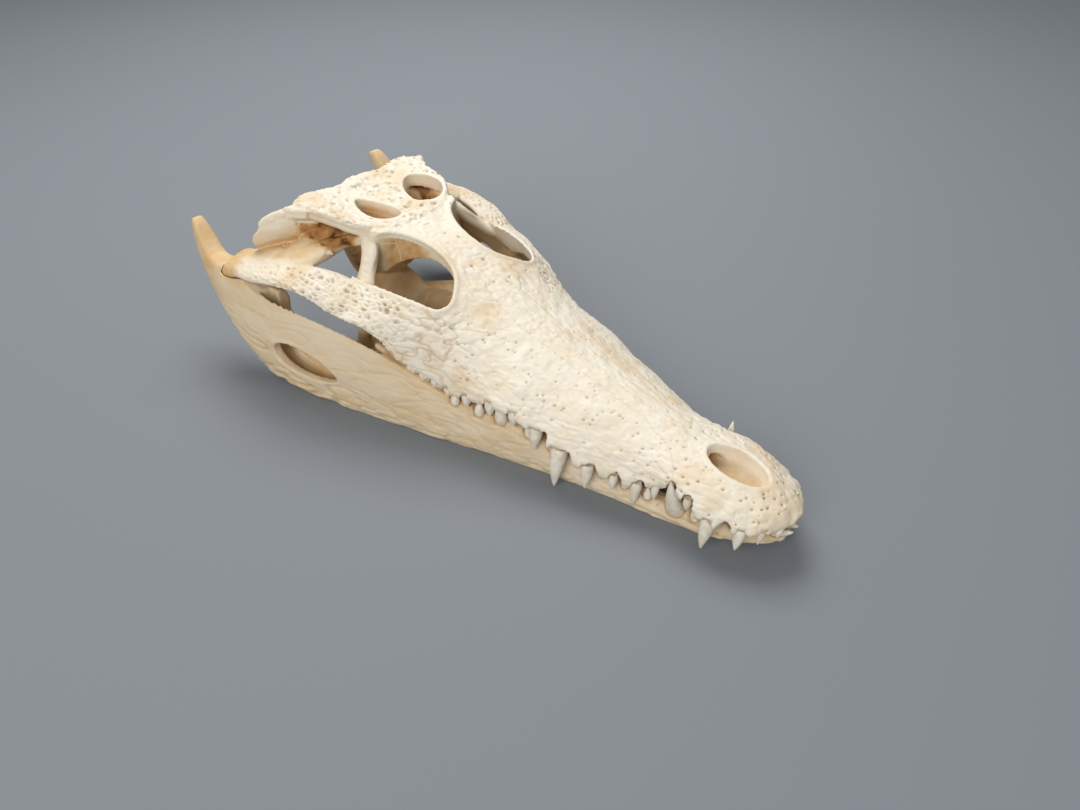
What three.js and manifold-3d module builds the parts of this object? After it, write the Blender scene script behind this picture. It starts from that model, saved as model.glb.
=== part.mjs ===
// Skull of a young adult crocodile, its mouth closed, lying on its lower jaw.
//
// Millimetres, Z up. X points to the snout and Y to the animal's left. Every shape is
// described by its station, the distance behind the tip of the snout, by its distance
// from the mid plane and by its height over the surface that the jaw lies on.
//
// The upper skull is one envelope, lofted through its widths and its top line, hollowed
// under the eyes and parted at the sutures. The rear of the skull is plates and struts
// that meet under the skull table. Each half of the lower jaw is one loft with a trough
// for the jaw muscle. Every tooth is joined to the bone that it grows from.

import * as THREE from 'three';
import { mergeVertices } from 'three/addons/utils/BufferGeometryUtils.js';
import Module from 'manifold-3d';

const wasm = await Module();
wasm.setup();

// ---- driving dimensions -------------------------------------------------------------

const SUTURE_GAP = 0.35;        // clear width of a suture between two bones
const FAR = 500;                // reach of a cutting block

// Each profile is a smooth line through [station, size] knots.
const UPPER_HALF_WIDTH = profile([
  [0, 4.5], [5, 13.8], [12, 20.8], [20, 25.2], [32, 28.2], [42, 28], [54, 25.5], [62, 26.5],
  [76, 31.5], [103, 39], [130, 42.5], [170, 50], [205, 58.5], [246, 69.5], [262, 72.5],
]);
const TOP_LINE = profile([
  [0, 23], [5, 27], [12, 31], [22, 34.2], [34, 36], [50, 37], [75, 41], [100, 46],
  [130, 53], [160, 62], [190, 73], [215, 83], [245, 91], [265, 96], [300, 98],
]);
const GUM_LINE = profile([
  [0, 21], [8, 19], [20, 17.5], [30, 18], [44, 23], [54, 23.5], [70, 17], [82, 17.5],
  [95, 19], [110, 22.5], [123, 28], [138, 33.5], [150, 34], [163, 33], [178, 34.5],
  [190, 38], [200, 41.5], [208, 47.5], [215, 54], [222, 57.5], [236, 59.5], [250, 63],
]);
// How full the upper skull is across: 2 is an ellipse, 1 a straight slope.
const CROWN_POWER = profile([
  [0, 2], [15, 1.8], [45, 2], [62, 2.1], [76, 1.75], [105, 1.75], [122, 1.55], [150, 1.6],
  [180, 1.9], [197, 2.2], [206, 1.9], [216, 1.4], [230, 1.05], [250, 0.8],
]);
// The share of the half width that stays level with the top line.
const BROW_SHARE = profile([[180, 0], [198, 0.16], [215, 0.24], [232, 0.3], [250, 0.42]]);

const GUM_EDGE = 7;             // width of the ridge that carries the upper teeth
const PALATE_RISE = 4.5;        // palate over the gum line
const NARIS = { front: 17.5, rear: 49, halfWidth: 9.3, depth: 9 };
const ENVELOPE_END = 250.6;
const CHEEK_END = 246.5;        // from here on the cheek is a bar,
const CHEEK_BAR_SIDE = 33;      // outside of this distance from the mid plane

const ROOF_THICKNESS = 4.5;
const CHEEK_THICKNESS = 6;
const ORBIT_RIM = [             // [station, distance from the mid plane]
  [248, 30.5], [241, 20], [229, 13.5], [215, 12], [203, 15], [195, 22.5], [191.5, 30],
  [195, 37], [205, 41], [218, 44], [234, 46], [247, 47.5], [258, 46], [258, 35],
];
const PALATE_WINDOW = { front: 166, floor: 50 };

const TABLE = {                 // the flat deck over the rear of the skull
  outline: [                    // [station, distance from the mid plane]
    [243, 0], [245, 18], [250, 30.5], [262, 37.5], [287, 42.5], [300, 44], [304, 34],
    [300, 18], [303, 0],
  ],
  thickness: 7,
};
// The holes through the deck differ a little, as the left and right of a skull do.
const UPPER_WINDOW = { station: 267, halfLength: 15, turn: 0.22, depth: 18 };
const UPPER_WINDOW_ACROSS = { left: [20, 9.5], right: [14, 8] };

// Struts and plates: each row is a flattened oval, [station, side, height, half width,
// half thickness, roll in degrees], seen from the rear.
const POSTORBITAL_BAR = [       // seen from above
  [251, 29.5, 90, 5, 4.5], [249.3, 30.5, 85, 4.2, 3.6], [246, 36.5, 77, 4, 3.4],
  [241.5, 44, 70, 5.5, 3.8], [239, 49.5, 65, 8, 5],
];
const CHEEK_BAR = [
  [233, 55, 64, 8, 2, -24], [243, 57.5, 66.2, 12, 3.4, -20.5], [256, 60.8, 69.8, 11.4, 3.3, -19],
  [270, 64, 70.2, 10.3, 3.3, -18], [284, 67.5, 68.8, 9.5, 3.5, -17],
  [302, 72, 65.8, 8.2, 3.6, -20], [318, 74, 63, 5.6, 3.4, -20],
];
const QUADRATE_STRAP = [
  [252, 28.5, 85.5, 4, 3.5, -25], [262, 30, 82.5, 4.5, 3.5, -24], [268, 32, 81, 5.5, 3.6, -22],
  [272, 43.5, 78, 13, 3.8, -20], [284, 53, 73.8, 17, 4.3, -17], [298, 61, 69.8, 17, 5, -16],
  [311, 66, 66, 14, 5.5, -16], [322, 68.5, 62.5, 12.2, 6, -17], [330, 68, 60.5, 12, 5.2, -17],
  [334, 67.5, 59.5, 10.5, 3, -17],
];
const QUADRATE_BODY = [
  [281, 10, 77, 12, 13, 0], [284, 28, 79, 9, 9, 0], [288, 44, 76.5, 8, 6, 0],
  [292, 58, 71.5, 8, 4.5, 0],
];
const PAROCCIPITAL_WING = [
  [297, 4, 81, 7, 15], [298, 22, 84, 6, 11.5], [302, 38, 85.5, 5, 9],
  [307, 51, 84.5, 4.5, 6.5], [313, 60.5, 81, 3, 4],
];
const SQUAMOSAL_CORNER = [
  [287, 38, 94, 7, 3.8], [297, 44.5, 93, 6, 4.2], [306, 52.5, 89.3, 4.5, 4.2],
  [313.5, 60, 83.5, 3, 3],
];
const BRAINCASE = [             // [station, half width, underside height]
  [240, 6, 79], [250, 10, 68], [262, 13.5, 58], [278, 17, 49], [292, 18, 44], [300, 16, 44],
];
const BRAINCASE_TOP = 4;        // braincase below the deck's top
const CONDYLE = { station: 302.5, height: 70, radius: 6.4 };
const FORAMEN = { height: 80.5, radius: 4.8, depth: 9 };

const PALATINE = [              // [station, half width, underside, top]
  [160, 7, 33, 41], [176, 8.5, 35.5, 46], [198, 8.5, 37, 49], [220, 8, 37.5, 49],
  [234, 9, 36, 47], [250, 10, 33.5, 43.5], [266, 13, 34, 46], [288, 13, 40, 55],
];
const PTERYGOID_WING = [        // flattened ovals from the mid line outwards
  [256, 4, 38.5, 18, 3.5], [253, 18, 34, 14.3, 2.6], [249.5, 34, 30, 11, 2.4],
  [248, 45, 27, 9.5, 2.6], [248, 51, 24.5, 6.5, 2.4],
];
const ECTOPTERYGOID_ARM = [     // seen from above
  [247, 46, 29, 6.5, 3.4], [243, 48.5, 38, 5, 3.4], [236, 51, 47, 5.5, 3.8],
  [226, 54.5, 57, 8, 4.6],
];
const ECTOPTERYGOID_FOOT = [
  [232, 52, 51.5, 4, 4.4], [214, 49, 50.5, 4, 4], [198, 46, 45.5, 3, 3.2],
];

// The lower jaw: outline lines of one half.
const JAW_OUTER = profile([
  [3.5, 3], [7, 7], [12, 10.8], [22, 15.8], [32, 19], [45, 21.8], [60, 24], [90, 29.5],
  [136, 41], [185, 56], [216, 65.5], [262, 78], [285, 83], [310, 85], [330, 83.5],
  [348, 79.5], [363, 75], [373, 70.5],
]);
const JAW_THICKNESS = profile([
  [3.5, 3], [7, 7], [12, 10.8], [22, 15.8], [45, 21.8], [52, 13], [80, 11], [150, 10.5],
  [200, 12.5], [240, 14.8], [262, 17.5], [282, 19.5], [305, 24], [320, 28], [335, 23], [348, 16],
  [362, 12], [373, 6.5],
]);
// Where the lower edge stands between the inner face, 0, and the outer one, 1.
const JAW_KEEL = profile([[60, 0.35], [230, 0.4], [280, 0.55], [310, 0.65], [340, 0.5]]);
const JAW_TOP = profile([
  [3.5, 9.5], [10, 11.5], [25, 10.5], [45, 8.5], [68, 9], [83, 10.5], [100, 13.5], [125, 20.5],
  [141, 25], [164, 27], [182, 32.5], [209, 43.5], [231, 49.5], [262, 54.5], [284, 57],
  [298, 56.5], [312, 60.5], [330, 61], [341, 58.5], [349, 59.5], [357, 66], [363, 72.5],
  [368, 76.5], [373, 74.5],
]);
const JAW_BOTTOM = profile([
  [3.5, 7], [10, 5], [22, 2.5], [36, 0], [42, -0.6], [266, -0.6], [278, 0], [288, 1.5],
  [303, 5], [319, 14], [336, 28], [350, 38.5], [362, 49], [370, 61], [373, 69],
]);
const JAW_END = 373;
const SYMPHYSIS_END = 49;
const JAW_BONES = [             // from station to station
  ['dentary', 'jaw', 0, 228], ['angular', 'jaw', 228, 303], ['articular', 'hinge', 303, 380],
];
const JAW_TROUGH = [            // [station, inner side, outer side, floor]
  [214, 57, 60, 34], [226, 58, 63.5, 22], [245, 61, 68.5, 9], [268, 65, 74, 7],
  [285, 67.5, 77, 12], [297, 67, 76, 30],
];
const MEDIAL_WALL_TOP = 29;     // the trough's inner wall ends here
const JAW_WINDOW = {            // the opening through the outer wall
  station: 263, height: 24.5, halfLength: 21.5, halfHeight: 8.8, turn: 0.17,
};
const HINGE_CLEARANCE = 0.4;    // between the quadrate and the lower jaw's socket
const MOUTH_CLEARANCE = 0.4;    // between the closed jaws where they would meet

// The bones of the upper skull, in the order in which they are parted. A zone is a run of
// frames. On a bone of the mid plane a frame is [station, reach to each side, lowest,
// highest], and on a paired bone it is [station, nearest side, farthest side, lowest,
// highest].
const MIDDLE_BONES = [
  ['premaxilla', 'skull', [[[-9, 60, 0, 90], [53, 60, 0, 90]]]],
  ['skull_table', 'skull', [[[241, 60, 83.5, 120], [320, 60, 91.5, 120]]]],
  ['frontal', 'skull', [[[187, 24, 58, 120], [241, 24, 58, 120]]]],
  ['palatine', 'inner', [[[187, 22, 0, 55], [238, 22, 0, 55]]]],
  ['braincase', 'rear', [
    [[230, 19, 51, 120], [330, 19, 51, 120]],
    [[293.8, 60, 84.5, 120], [297.4, 60, 76, 120], [330, 70, 76, 120]],
  ]],
  ['pterygoid', 'inner', [[[238, 46, 0, 60], [330, 46, 0, 60]]]],
];
const PAIRED_BONES = [
  ['quadrate', 'quadrate', [
    [[251.5, 19, 36, 74, 120], [276, 19, 48, 70, 120]],
    [[270, 15, 100, 0, 120], [340, 15, 100, 0, 120]],
  ]],
  ['ectopterygoid', 'inner', [[[205, 40, 52.3, 0, 55], [262, 40, 66.3, 0, 62]]]],
  ['maxilla', 'skull', [
    [[53, 0, 90, 0, 120], [187, 0, 90, 0, 120]],
    [[180, 30, 90, 0, 44], [209, 34, 90, 0, 57]],
  ]],
  ['jugal', 'skull', [[[187, 19, 90, 0, 120], [270, 19, 90, 0, 120]]]],
];

// Teeth: [station, length out of the bone, radius at the gum, lean outwards in degrees,
// and for the front teeth of the lower jaw the lean forwards].
const UPPER_TEETH = [
  [4, 5, 1.4, 10], [9.5, 6.5, 1.7, 12], [17, 10, 2.4, 12], [31, 15, 3, 14], [43, 5, 1.7, 6],
  [61.5, 9, 1.9, 6], [70.5, 12, 2.4, 6], [81.5, 7.5, 2, 6], [94.5, 13, 2.8, 8],
  [110, 21.5, 3.8, 10], [124, 11.5, 3, 8], [137, 7, 2.5, 6], [151, 7.5, 2.5, 4],
  [165, 6.5, 2.4, 4], [176, 5.5, 2.2, 2], [184, 4.5, 2, 2], [191, 4.5, 1.9, 2],
  [198.5, 4, 1.8, 2],
];
const LOWER_TEETH = [
  [8, 10, 1.9, -8, 62], [23, 8, 1.7, 6, 50], [42, 5.5, 2, 4], [52, 23.5, 3.8, 19], [67, 5.5, 1.9],
  [79, 6, 1.9], [91, 6.5, 2], [104.5, 7, 2.1], [118.5, 8, 2.2, -2], [131, 8, 2.4, -2],
  [146.5, 11.5, 3, 2], [158.5, 5.5, 2.4, -4], [172, 3.8, 2.2, -4],
];
const FANG_CLEARANCE = 0.6;      // between a great lower tooth and its notch
const TOOTH_SIDES = 5;
const SMALL_TOOTH = 8;          // teeth up to this length are plain cones
const TOOTH_ROOT = 2.2;         // how deep a tooth goes into its bone
const TOOTH_INSET = { upper: 3.2, lower: 4.4 };

const COLOURS = {
  skull: '#e9e2d0',
  rear: '#dfd0b0',
  quadrate: '#dcc292',
  inner: '#cfae7c',
  jaw: '#e2d2b0',
  hinge: '#d6bd8c',
};

// ---- profiles and solids ------------------------------------------------------------

// A line through knots, with slopes limited so that it never swings past a knot.
function profile(knots) {
  const slope = knots.map((knot, i) => {
    const before = knots[Math.max(i - 1, 0)];
    const after = knots[Math.min(i + 1, knots.length - 1)];
    const rise = (knot[1] - before[1]) * (after[1] - knot[1]);
    const isEnd = i === 0 || i === knots.length - 1;
    return isEnd || rise > 0 ? (after[1] - before[1]) / (after[0] - before[0]) : 0;
  });
  return (station) => {
    const last = knots.length - 1;
    if (station <= knots[0][0]) return knots[0][1];
    if (station >= knots[last][0]) return knots[last][1];
    const i = knots.findIndex((knot) => knot[0] > station) - 1;
    const [from, low] = knots[i];
    const [to, high] = knots[i + 1];
    const span = to - from;
    const t = (station - from) / span;
    const ease = t * t * (3 - 2 * t);
    const leave = t * (1 - t) * (1 - t) * span * slope[i];
    const arrive = t * t * (t - 1) * span * slope[i + 1];
    return low + (high - low) * ease + leave + arrive;
  };
}

function at(station, side, height) {
  return new THREE.Vector3(-station, side, height);
}

// A closed triangle mesh becomes a solid. Its faces are turned outwards first.
function toSolid(geometry) {
  geometry.deleteAttribute('normal');
  geometry.deleteAttribute('uv');
  const merged = mergeVertices(geometry, 1e-4);
  const vertProperties = new Float32Array(merged.attributes.position.array);
  const triVerts = new Uint32Array(merged.index.array);
  if (signedVolume(vertProperties, triVerts) < 0) {
    for (let i = 0; i < triVerts.length; i += 3) {
      [triVerts[i], triVerts[i + 1]] = [triVerts[i + 1], triVerts[i]];
    }
  }
  return new wasm.Manifold(new wasm.Mesh({ numProp: 3, vertProperties, triVerts }));
}

function signedVolume(points, triangles) {
  const [a, b, c] = [new THREE.Vector3(), new THREE.Vector3(), new THREE.Vector3()];
  let volume = 0;
  for (let i = 0; i < triangles.length; i += 3) {
    a.fromArray(points, 3 * triangles[i]);
    b.fromArray(points, 3 * triangles[i + 1]);
    c.fromArray(points, 3 * triangles[i + 2]);
    volume += a.dot(b.cross(c)) / 6;
  }
  return volume;
}

// A solid through rings of equally many points, closed at both ends.
function loft(rings) {
  const count = rings[0].length;
  const points = rings.flat();
  const faces = [];
  for (let ring = 0; ring < rings.length - 1; ring += 1) {
    for (let i = 0; i < count; i += 1) {
      const a = ring * count + i;
      const b = ring * count + ((i + 1) % count);
      faces.push(a, b, a + count, b, b + count, a + count);
    }
  }
  const lastRing = (rings.length - 1) * count;
  for (const [start, isLast] of [[0, false], [lastRing, true]]) {
    const middle = new THREE.Vector3();
    for (let i = 0; i < count; i += 1) middle.addScaledVector(points[start + i], 1 / count);
    const hub = points.push(middle) - 1;
    for (let i = 0; i < count; i += 1) {
      const a = start + i;
      const b = start + ((i + 1) % count);
      faces.push(...(isLast ? [a, b, hub] : [b, a, hub]));
    }
  }
  const geometry = new THREE.BufferGeometry().setFromPoints(points);
  geometry.setIndex(faces);
  return toSolid(geometry);
}

function join(solids) {
  return solids.reduce((whole, solid) => whole.add(solid));
}

// A box between two stations, two sides and two heights.
function block([s0, s1], [y0, y1], [z0, z1]) {
  const box = new THREE.BoxGeometry(s1 - s0, y1 - y0, z1 - z0);
  box.translate(-(s0 + s1) / 2, (y0 + y1) / 2, (z0 + z1) / 2);
  return toSolid(box);
}

// The part of a solid between two stations, half a suture short at both.
function between(solid, s0, s1) {
  const half = SUTURE_GAP / 2;
  return solid.intersect(block([s0 + half, s1 - half], [-FAR, FAR], [-FAR, FAR]));
}

// A block that follows its frames along the skull. Its faces are drawn in by the inset.
function zone(frames, inset) {
  const last = frames.length - 1;
  return loft(frames.map(([station, near, far, low, high], i) => {
    const place = station + (i === 0 ? inset : 0) - (i === last ? inset : 0);
    const inward = Math.sign(far - near) * inset;
    return [
      at(place, near + inward, low + inset), at(place, far - inward, low + inset),
      at(place, far - inward, high - inset), at(place, near + inward, high - inset),
    ];
  }));
}

// A closed outline in plan, given on one side, stands between two heights.
function prism(outline, side, low, high) {
  const shape = new THREE.Shape(outline.map(([s, y]) => new THREE.Vector2(-s, side * y)));
  const geometry = new THREE.ExtrudeGeometry(shape, { depth: high - low, bevelEnabled: false });
  geometry.translate(0, 0, low);
  return toSolid(geometry);
}

// An oval outline in plan, [station, side] points.
function oval(station, side, halfLength, halfWidth, turn, count) {
  const points = [];
  for (let i = 0; i < count; i += 1) {
    const angle = (i / count) * 2 * Math.PI;
    const along = halfLength * Math.cos(angle);
    const across = halfWidth * Math.sin(angle);
    points.push([
      station + along * Math.cos(turn) - across * Math.sin(turn),
      side + along * Math.sin(turn) + across * Math.cos(turn),
    ]);
  }
  return points;
}

// Stations from one to another, about a step apart.
function stations(from, to, step) {
  const count = Math.max(1, Math.round((to - from) / step));
  return Array.from({ length: count + 1 }, (_, i) => from + ((to - from) * i) / count);
}

// A strut of flattened ovals along its path. The ovals stand in the plane that its run
// crosses: `across` the skull, `along` it, or `level`.
const STRUT_PLANES = {
  across: (station, side, height, flat, up) => [station, side + flat, height + up],
  along: (station, side, height, flat, up) => [station + flat, side, height + up],
  level: (station, side, height, flat, up) => [station + flat, side + up, height],
};

function strut(rows, side, plane, count = 6) {
  const rings = rows.map(([station, across, height, halfWidth, halfThick, roll = 0]) => {
    const turn = THREE.MathUtils.degToRad(roll);
    const ring = [];
    for (let i = 0; i < count; i += 1) {
      const angle = ((i + 0.5) / count) * 2 * Math.PI;
      const u = halfWidth * Math.cos(angle);
      const v = halfThick * Math.sin(angle);
      const flat = u * Math.cos(turn) - v * Math.sin(turn);
      const up = u * Math.sin(turn) + v * Math.cos(turn);
      const [s, y, z] = STRUT_PLANES[plane](station, across, height, flat, up);
      ring.push(at(s, side * y, z));
    }
    return ring;
  });
  return loft(rings);
}

// ---- the upper skull's envelope -----------------------------------------------------

// One cross-section: the crown over the widest line, then the gum ridge and the palate.
function crownRing(station, steps = 4) {
  const brow = BROW_SHARE(station);
  const width = UPPER_HALF_WIDTH(station);
  const gum = GUM_LINE(station);
  const rise = TOP_LINE(station) - gum;
  const power = 2 / CROWN_POWER(station);
  const ridge = Math.min(GUM_EDGE, width * 0.4);
  const half = [];
  for (let i = 0; i < steps; i += 1) {
    const angle = (Math.PI / 2) * ((i + 0.5) / steps);
    half.push([
      width * (brow + (1 - brow) * Math.sin(angle) ** power),
      gum + 1.5 + (rise - 1.5) * Math.cos(angle) ** power,
    ]);
  }
  half.push([width - 1, gum], [width - ridge, gum], [width - ridge - 1.5, gum + PALATE_RISE]);
  const left = half.map(([y, z]) => at(station, y, z));
  const right = half.map(([y, z]) => at(station, -y, z)).reverse();
  return [...left, ...right];
}

function skullEnvelope() {
  const places = [
    ...[0, 2.5, 6, 11, 18], ...stations(27, 63, 9), ...stations(74, 152, 11.1),
    ...stations(162, 188, 13), ...stations(196, ENVELOPE_END, 9),
  ];
  return loft(places.map((station) => crownRing(station)));
}

// The hollow under the eyes: wide under the roof, narrower between the tooth ridges.
function orbitHollow() {
  const upper = stations(185.5, ENVELOPE_END + 4, 11).map((station) => {
    const taper = 0.9 + 0.1 * THREE.MathUtils.smoothstep(station, 188, 208);
    const width = (UPPER_HALF_WIDTH(station) - CHEEK_THICKNESS) * taper;
    const floor = PALATE_WINDOW.floor;
    const rise = TOP_LINE(station) - ROOF_THICKNESS - floor;
    const power = 2 / CROWN_POWER(station);
    return stations(0, 1, 1 / 8).map((t) => {
      const angle = Math.PI * t;
      const side = Math.sign(Math.cos(angle)) * Math.abs(Math.cos(angle)) ** power;
      return at(station, width * side, floor + rise * Math.sin(angle) ** power);
    });
  });
  const lower = stations(PALATE_WINDOW.front, ENVELOPE_END + 4, 14.5).map((station) => {
    const shelf = 13 - 6 * THREE.MathUtils.smoothstep(station, 195, 212);
    const nose = THREE.MathUtils.smoothstep(station, PALATE_WINDOW.front - 9, 182);
    const width = (UPPER_HALF_WIDTH(station) - shelf) * nose;
    const roof = PALATE_WINDOW.floor + 3 + 4 * THREE.MathUtils.smoothstep(station, 195, 225);
    return [
      at(station, width, 20), at(station, width, roof),
      at(station, -width, roof), at(station, -width, 20),
    ];
  });
  const behind = [-1, 1].map((side) => {
    const range = [side * CHEEK_BAR_SIDE, side * FAR].sort((a, b) => a - b);
    return block([CHEEK_END, FAR], range, [-FAR, FAR]);
  });
  return join([loft(upper), loft(lower), ...behind]);
}

function orbitWindow(side) {
  const rim = new THREE.CatmullRomCurve3(
    ORBIT_RIM.map(([s, y]) => new THREE.Vector3(s, y, 0)), true, 'centripetal',
  );
  const outline = rim.getPoints(16).slice(0, -1).map((p) => [p.x, p.y]);
  return prism(outline, side, PALATE_WINDOW.floor + 8, 110);
}

function narisPit() {
  const rows = [[0.5, 0.9], [1, 0.5]];
  const middle = (NARIS.front + NARIS.rear) / 2;
  const half = (NARIS.rear - NARIS.front) / 2;
  const rings = [[-0.6, 1.05], ...rows].map(([down, size]) => (
    oval(middle, 0, half * size, NARIS.halfWidth * size, 0, 12).map(([s, y]) => (
      at(s, y, TOP_LINE(s) - 1.4 - NARIS.depth * down)
    ))
  ));
  return loft(rings);
}

// ---- teeth --------------------------------------------------------------------------

// A cone with a bellied flank, standing on the gum and pointing up or down. The front
// teeth of the lower jaw also lean forwards.
function tooth([station, length, radius, lean = 0, forwards = 0], place, side) {
  const { line, edge, inset, up } = place;
  const belly = length > SMALL_TOOTH ? [[0.8, 0.45 * length]] : [];
  const flank = [[0, -TOOTH_ROOT], [1, -TOOTH_ROOT], ...belly, [0, length]];
  const points = flank.map(([size, height]) => new THREE.Vector2(radius * size, height));
  const geometry = new THREE.LatheGeometry(points, TOOTH_SIDES);
  geometry.rotateX(up ? Math.PI / 2 : -Math.PI / 2);
  geometry.rotateX(THREE.MathUtils.degToRad(up ? -lean : lean) * side);
  geometry.rotateY(THREE.MathUtils.degToRad(forwards));
  geometry.translate(-station, side * (edge(station) - inset), line(station));
  return toSolid(geometry);
}

const UPPER_ROW = {
  line: GUM_LINE, edge: UPPER_HALF_WIDTH, inset: TOOTH_INSET.upper, up: false,
};
const LOWER_ROW = {
  line: JAW_TOP, edge: JAW_OUTER, inset: TOOTH_INSET.lower, up: true,
};

function teeth(rows, place, side) {
  return rows.map((row) => tooth(row, place, side));
}

// The notches and pits in the upper jaw that the great teeth of the lower jaw stand in.
function fangNotches(side) {
  const fangs = LOWER_TEETH.filter(([, length]) => length > SMALL_TOOTH);
  return join(fangs.map(([station, length, radius, ...lean]) => (
    tooth([station, length + FANG_CLEARANCE, radius + FANG_CLEARANCE, ...lean], LOWER_ROW, side)
  )));
}

// ---- rear of the skull --------------------------------------------------------------

function skullTable() {
  const right = TABLE.outline.map(([s, y]) => [s, -y]);
  const left = TABLE.outline.slice(1, -1).reverse();
  const outline = [...right, ...left];
  const ring = (drop, size) => outline.map(([s, y]) => (
    at(272 + (s - 272) * size, y * size, TOP_LINE(s) - drop)
  ));
  const plate = loft([ring(-0.4, 0.98), ring(TABLE.thickness, 0.99)]);
  const corners = [-1, 1].map((side) => strut(SQUAMOSAL_CORNER, side, 'across'));
  return join([plate, ...corners]);
}

function upperWindow(name, side) {
  const { station, halfLength, turn, depth } = UPPER_WINDOW;
  const [across, halfWidth] = UPPER_WINDOW_ACROSS[name];
  const rings = [[-6, 1.05], [depth * 0.6, 0.88], [depth, 0.6]].map(([down, size]) => (
    oval(station, across, halfLength * size, halfWidth * size, turn, 10).map(([s, y]) => (
      at(s, side * y, TOP_LINE(station) - down)
    ))
  ));
  return loft(rings);
}

function braincase() {
  const box = loft(BRAINCASE.map(([station, half, low]) => {
    const high = TOP_LINE(station) - BRAINCASE_TOP;
    const waist = low + 0.45 * (high - low);
    return [
      at(station, half * 0.45, low), at(station, half, waist), at(station, half * 1.1, high),
      at(station, -half * 1.1, high), at(station, -half, waist), at(station, -half * 0.45, low),
    ];
  }));
  const wings = [-1, 1].map((side) => strut(PAROCCIPITAL_WING, side, 'along'));
  const ball = new THREE.SphereGeometry(CONDYLE.radius, 8, 5);
  ball.translate(-CONDYLE.station, 0, CONDYLE.height);
  const canal = new THREE.CylinderGeometry(FORAMEN.radius, FORAMEN.radius * 0.8, FORAMEN.depth, 8);
  canal.rotateZ(Math.PI / 2);
  canal.translate(-(305 - FORAMEN.depth / 2), 0, FORAMEN.height);
  return join([box, ...wings, toSolid(ball)]).subtract(toSolid(canal));
}

// A strut across the skull, thicker all round and longer behind by the given clearance.
function swollenStrut(strutRows, side, count, clearance) {
  const rows = strutRows.map(([station, across, height, halfWidth, halfThick, roll]) => (
    [station, across, height, halfWidth + clearance, halfThick + clearance, roll]
  ));
  const [station, ...end] = rows[rows.length - 1];
  rows[rows.length - 1] = [station + clearance, ...end];
  return strut(rows, side, 'across', count);
}

// The two struts that run to the jaw joint, which the lower jaw must clear.
function cheekStruts(side, clearance = 0) {
  return join([
    swollenStrut(CHEEK_BAR, side, 6, clearance),
    swollenStrut(QUADRATE_STRAP, side, 8, clearance),
  ]);
}

function cheek(side) {
  return join([
    strut(POSTORBITAL_BAR, side, 'level'),
    cheekStruts(side),
    strut(QUADRATE_BODY, side, 'along'),
  ]);
}

// ---- palate -------------------------------------------------------------------------

function palatineBar() {
  return loft(PALATINE.map(([station, half, low, high]) => {
    const waist = (low + high) / 2;
    return [
      at(station, half, low), at(station, half * 0.95, waist), at(station, half * 0.45, high),
      at(station, -half * 0.45, high), at(station, -half * 0.95, waist), at(station, -half, low),
    ];
  }));
}

function pterygoid() {
  return join([-1, 1].map((side) => strut(PTERYGOID_WING, side, 'along')));
}

function ectopterygoid(side) {
  return join([
    strut(ECTOPTERYGOID_ARM, side, 'level'),
    strut(ECTOPTERYGOID_FOOT, side, 'across'),
  ]);
}

// ---- lower jaw ----------------------------------------------------------------------

// One cross-section of a half: a bulging outer face, a flatter inner one. The clearance
// thickens it outwards and upwards.
function jawRing(station, side, clearance = 0) {
  const outer = JAW_OUTER(station) + clearance;
  const inner = Math.max(JAW_OUTER(station) - JAW_THICKNESS(station), SUTURE_GAP / 2);
  const low = JAW_BOTTOM(station);
  const high = JAW_TOP(station) + clearance;
  const tall = high - low;
  const wide = outer - inner;
  const keel = JAW_KEEL(station);
  return [
    [inner + wide * keel, low], [outer - wide * 0.16, low], [outer, low + tall * 0.35],
    [outer - wide * 0.03, low + tall * 0.66], [outer - wide * 0.26, high],
    [inner + wide * 0.22, high], [inner, high - tall * 0.14],
    [inner + wide * Math.max(keel - 0.35, 0), low + tall * 0.2],
  ].map(([y, z]) => at(station, side * y, z));
}

// The room that the closed lower jaw takes beside the cheeks.
function mouthRoom(side) {
  const places = stations(120, 290, 17);
  return loft(places.map((station) => jawRing(station, side, MOUTH_CLEARANCE)));
}

function jawHalf(side) {
  const places = [
    ...[2, 5, 12], ...stations(22, 42, 10), ...stations(SYMPHYSIS_END, 261, 17.7),
    ...stations(272, 305, 11), ...stations(314, JAW_END, 7.4),
  ];
  const whole = loft(places.map((station) => jawRing(station, side)));
  const trough = loft(JAW_TROUGH.map(([station, inner, outer, floor]) => [
    at(station, side * inner, floor), at(station, side * outer, floor),
    at(station, side * outer, 80), at(station, side * inner, 80),
  ]));
  const shelf = loft(JAW_TROUGH.slice(1, -1).map(([station, inner, outer]) => [
    at(station, side * (inner - 12), Math.max(MEDIAL_WALL_TOP, station - 246)),
    at(station, side * (inner + outer) / 2, Math.max(MEDIAL_WALL_TOP, station - 246)),
    at(station, side * (inner + outer) / 2, 80),
    at(station, side * (inner - 12), 80),
  ]));
  const ground = block([-FAR, FAR], [-FAR, FAR], [-FAR, 0]);
  return join([whole, ...teeth(LOWER_TEETH, LOWER_ROW, side)])
    .subtract(trough)
    .subtract(shelf)
    .subtract(jawWindow(side))
    .subtract(cheekStruts(side, HINGE_CLEARANCE))
    .subtract(ground);
}

// The opening through the outer wall, cut from the trough outwards.
function jawWindow(side) {
  const { station, height, halfLength, halfHeight, turn } = JAW_WINDOW;
  const rim = oval(station, height, halfLength, halfHeight, turn, 10);
  return loft([66, 100].map((across) => rim.map(([s, z]) => at(s, side * across, z))));
}

// ---- the assembled skull ------------------------------------------------------------

const group = new THREE.Group();

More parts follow.
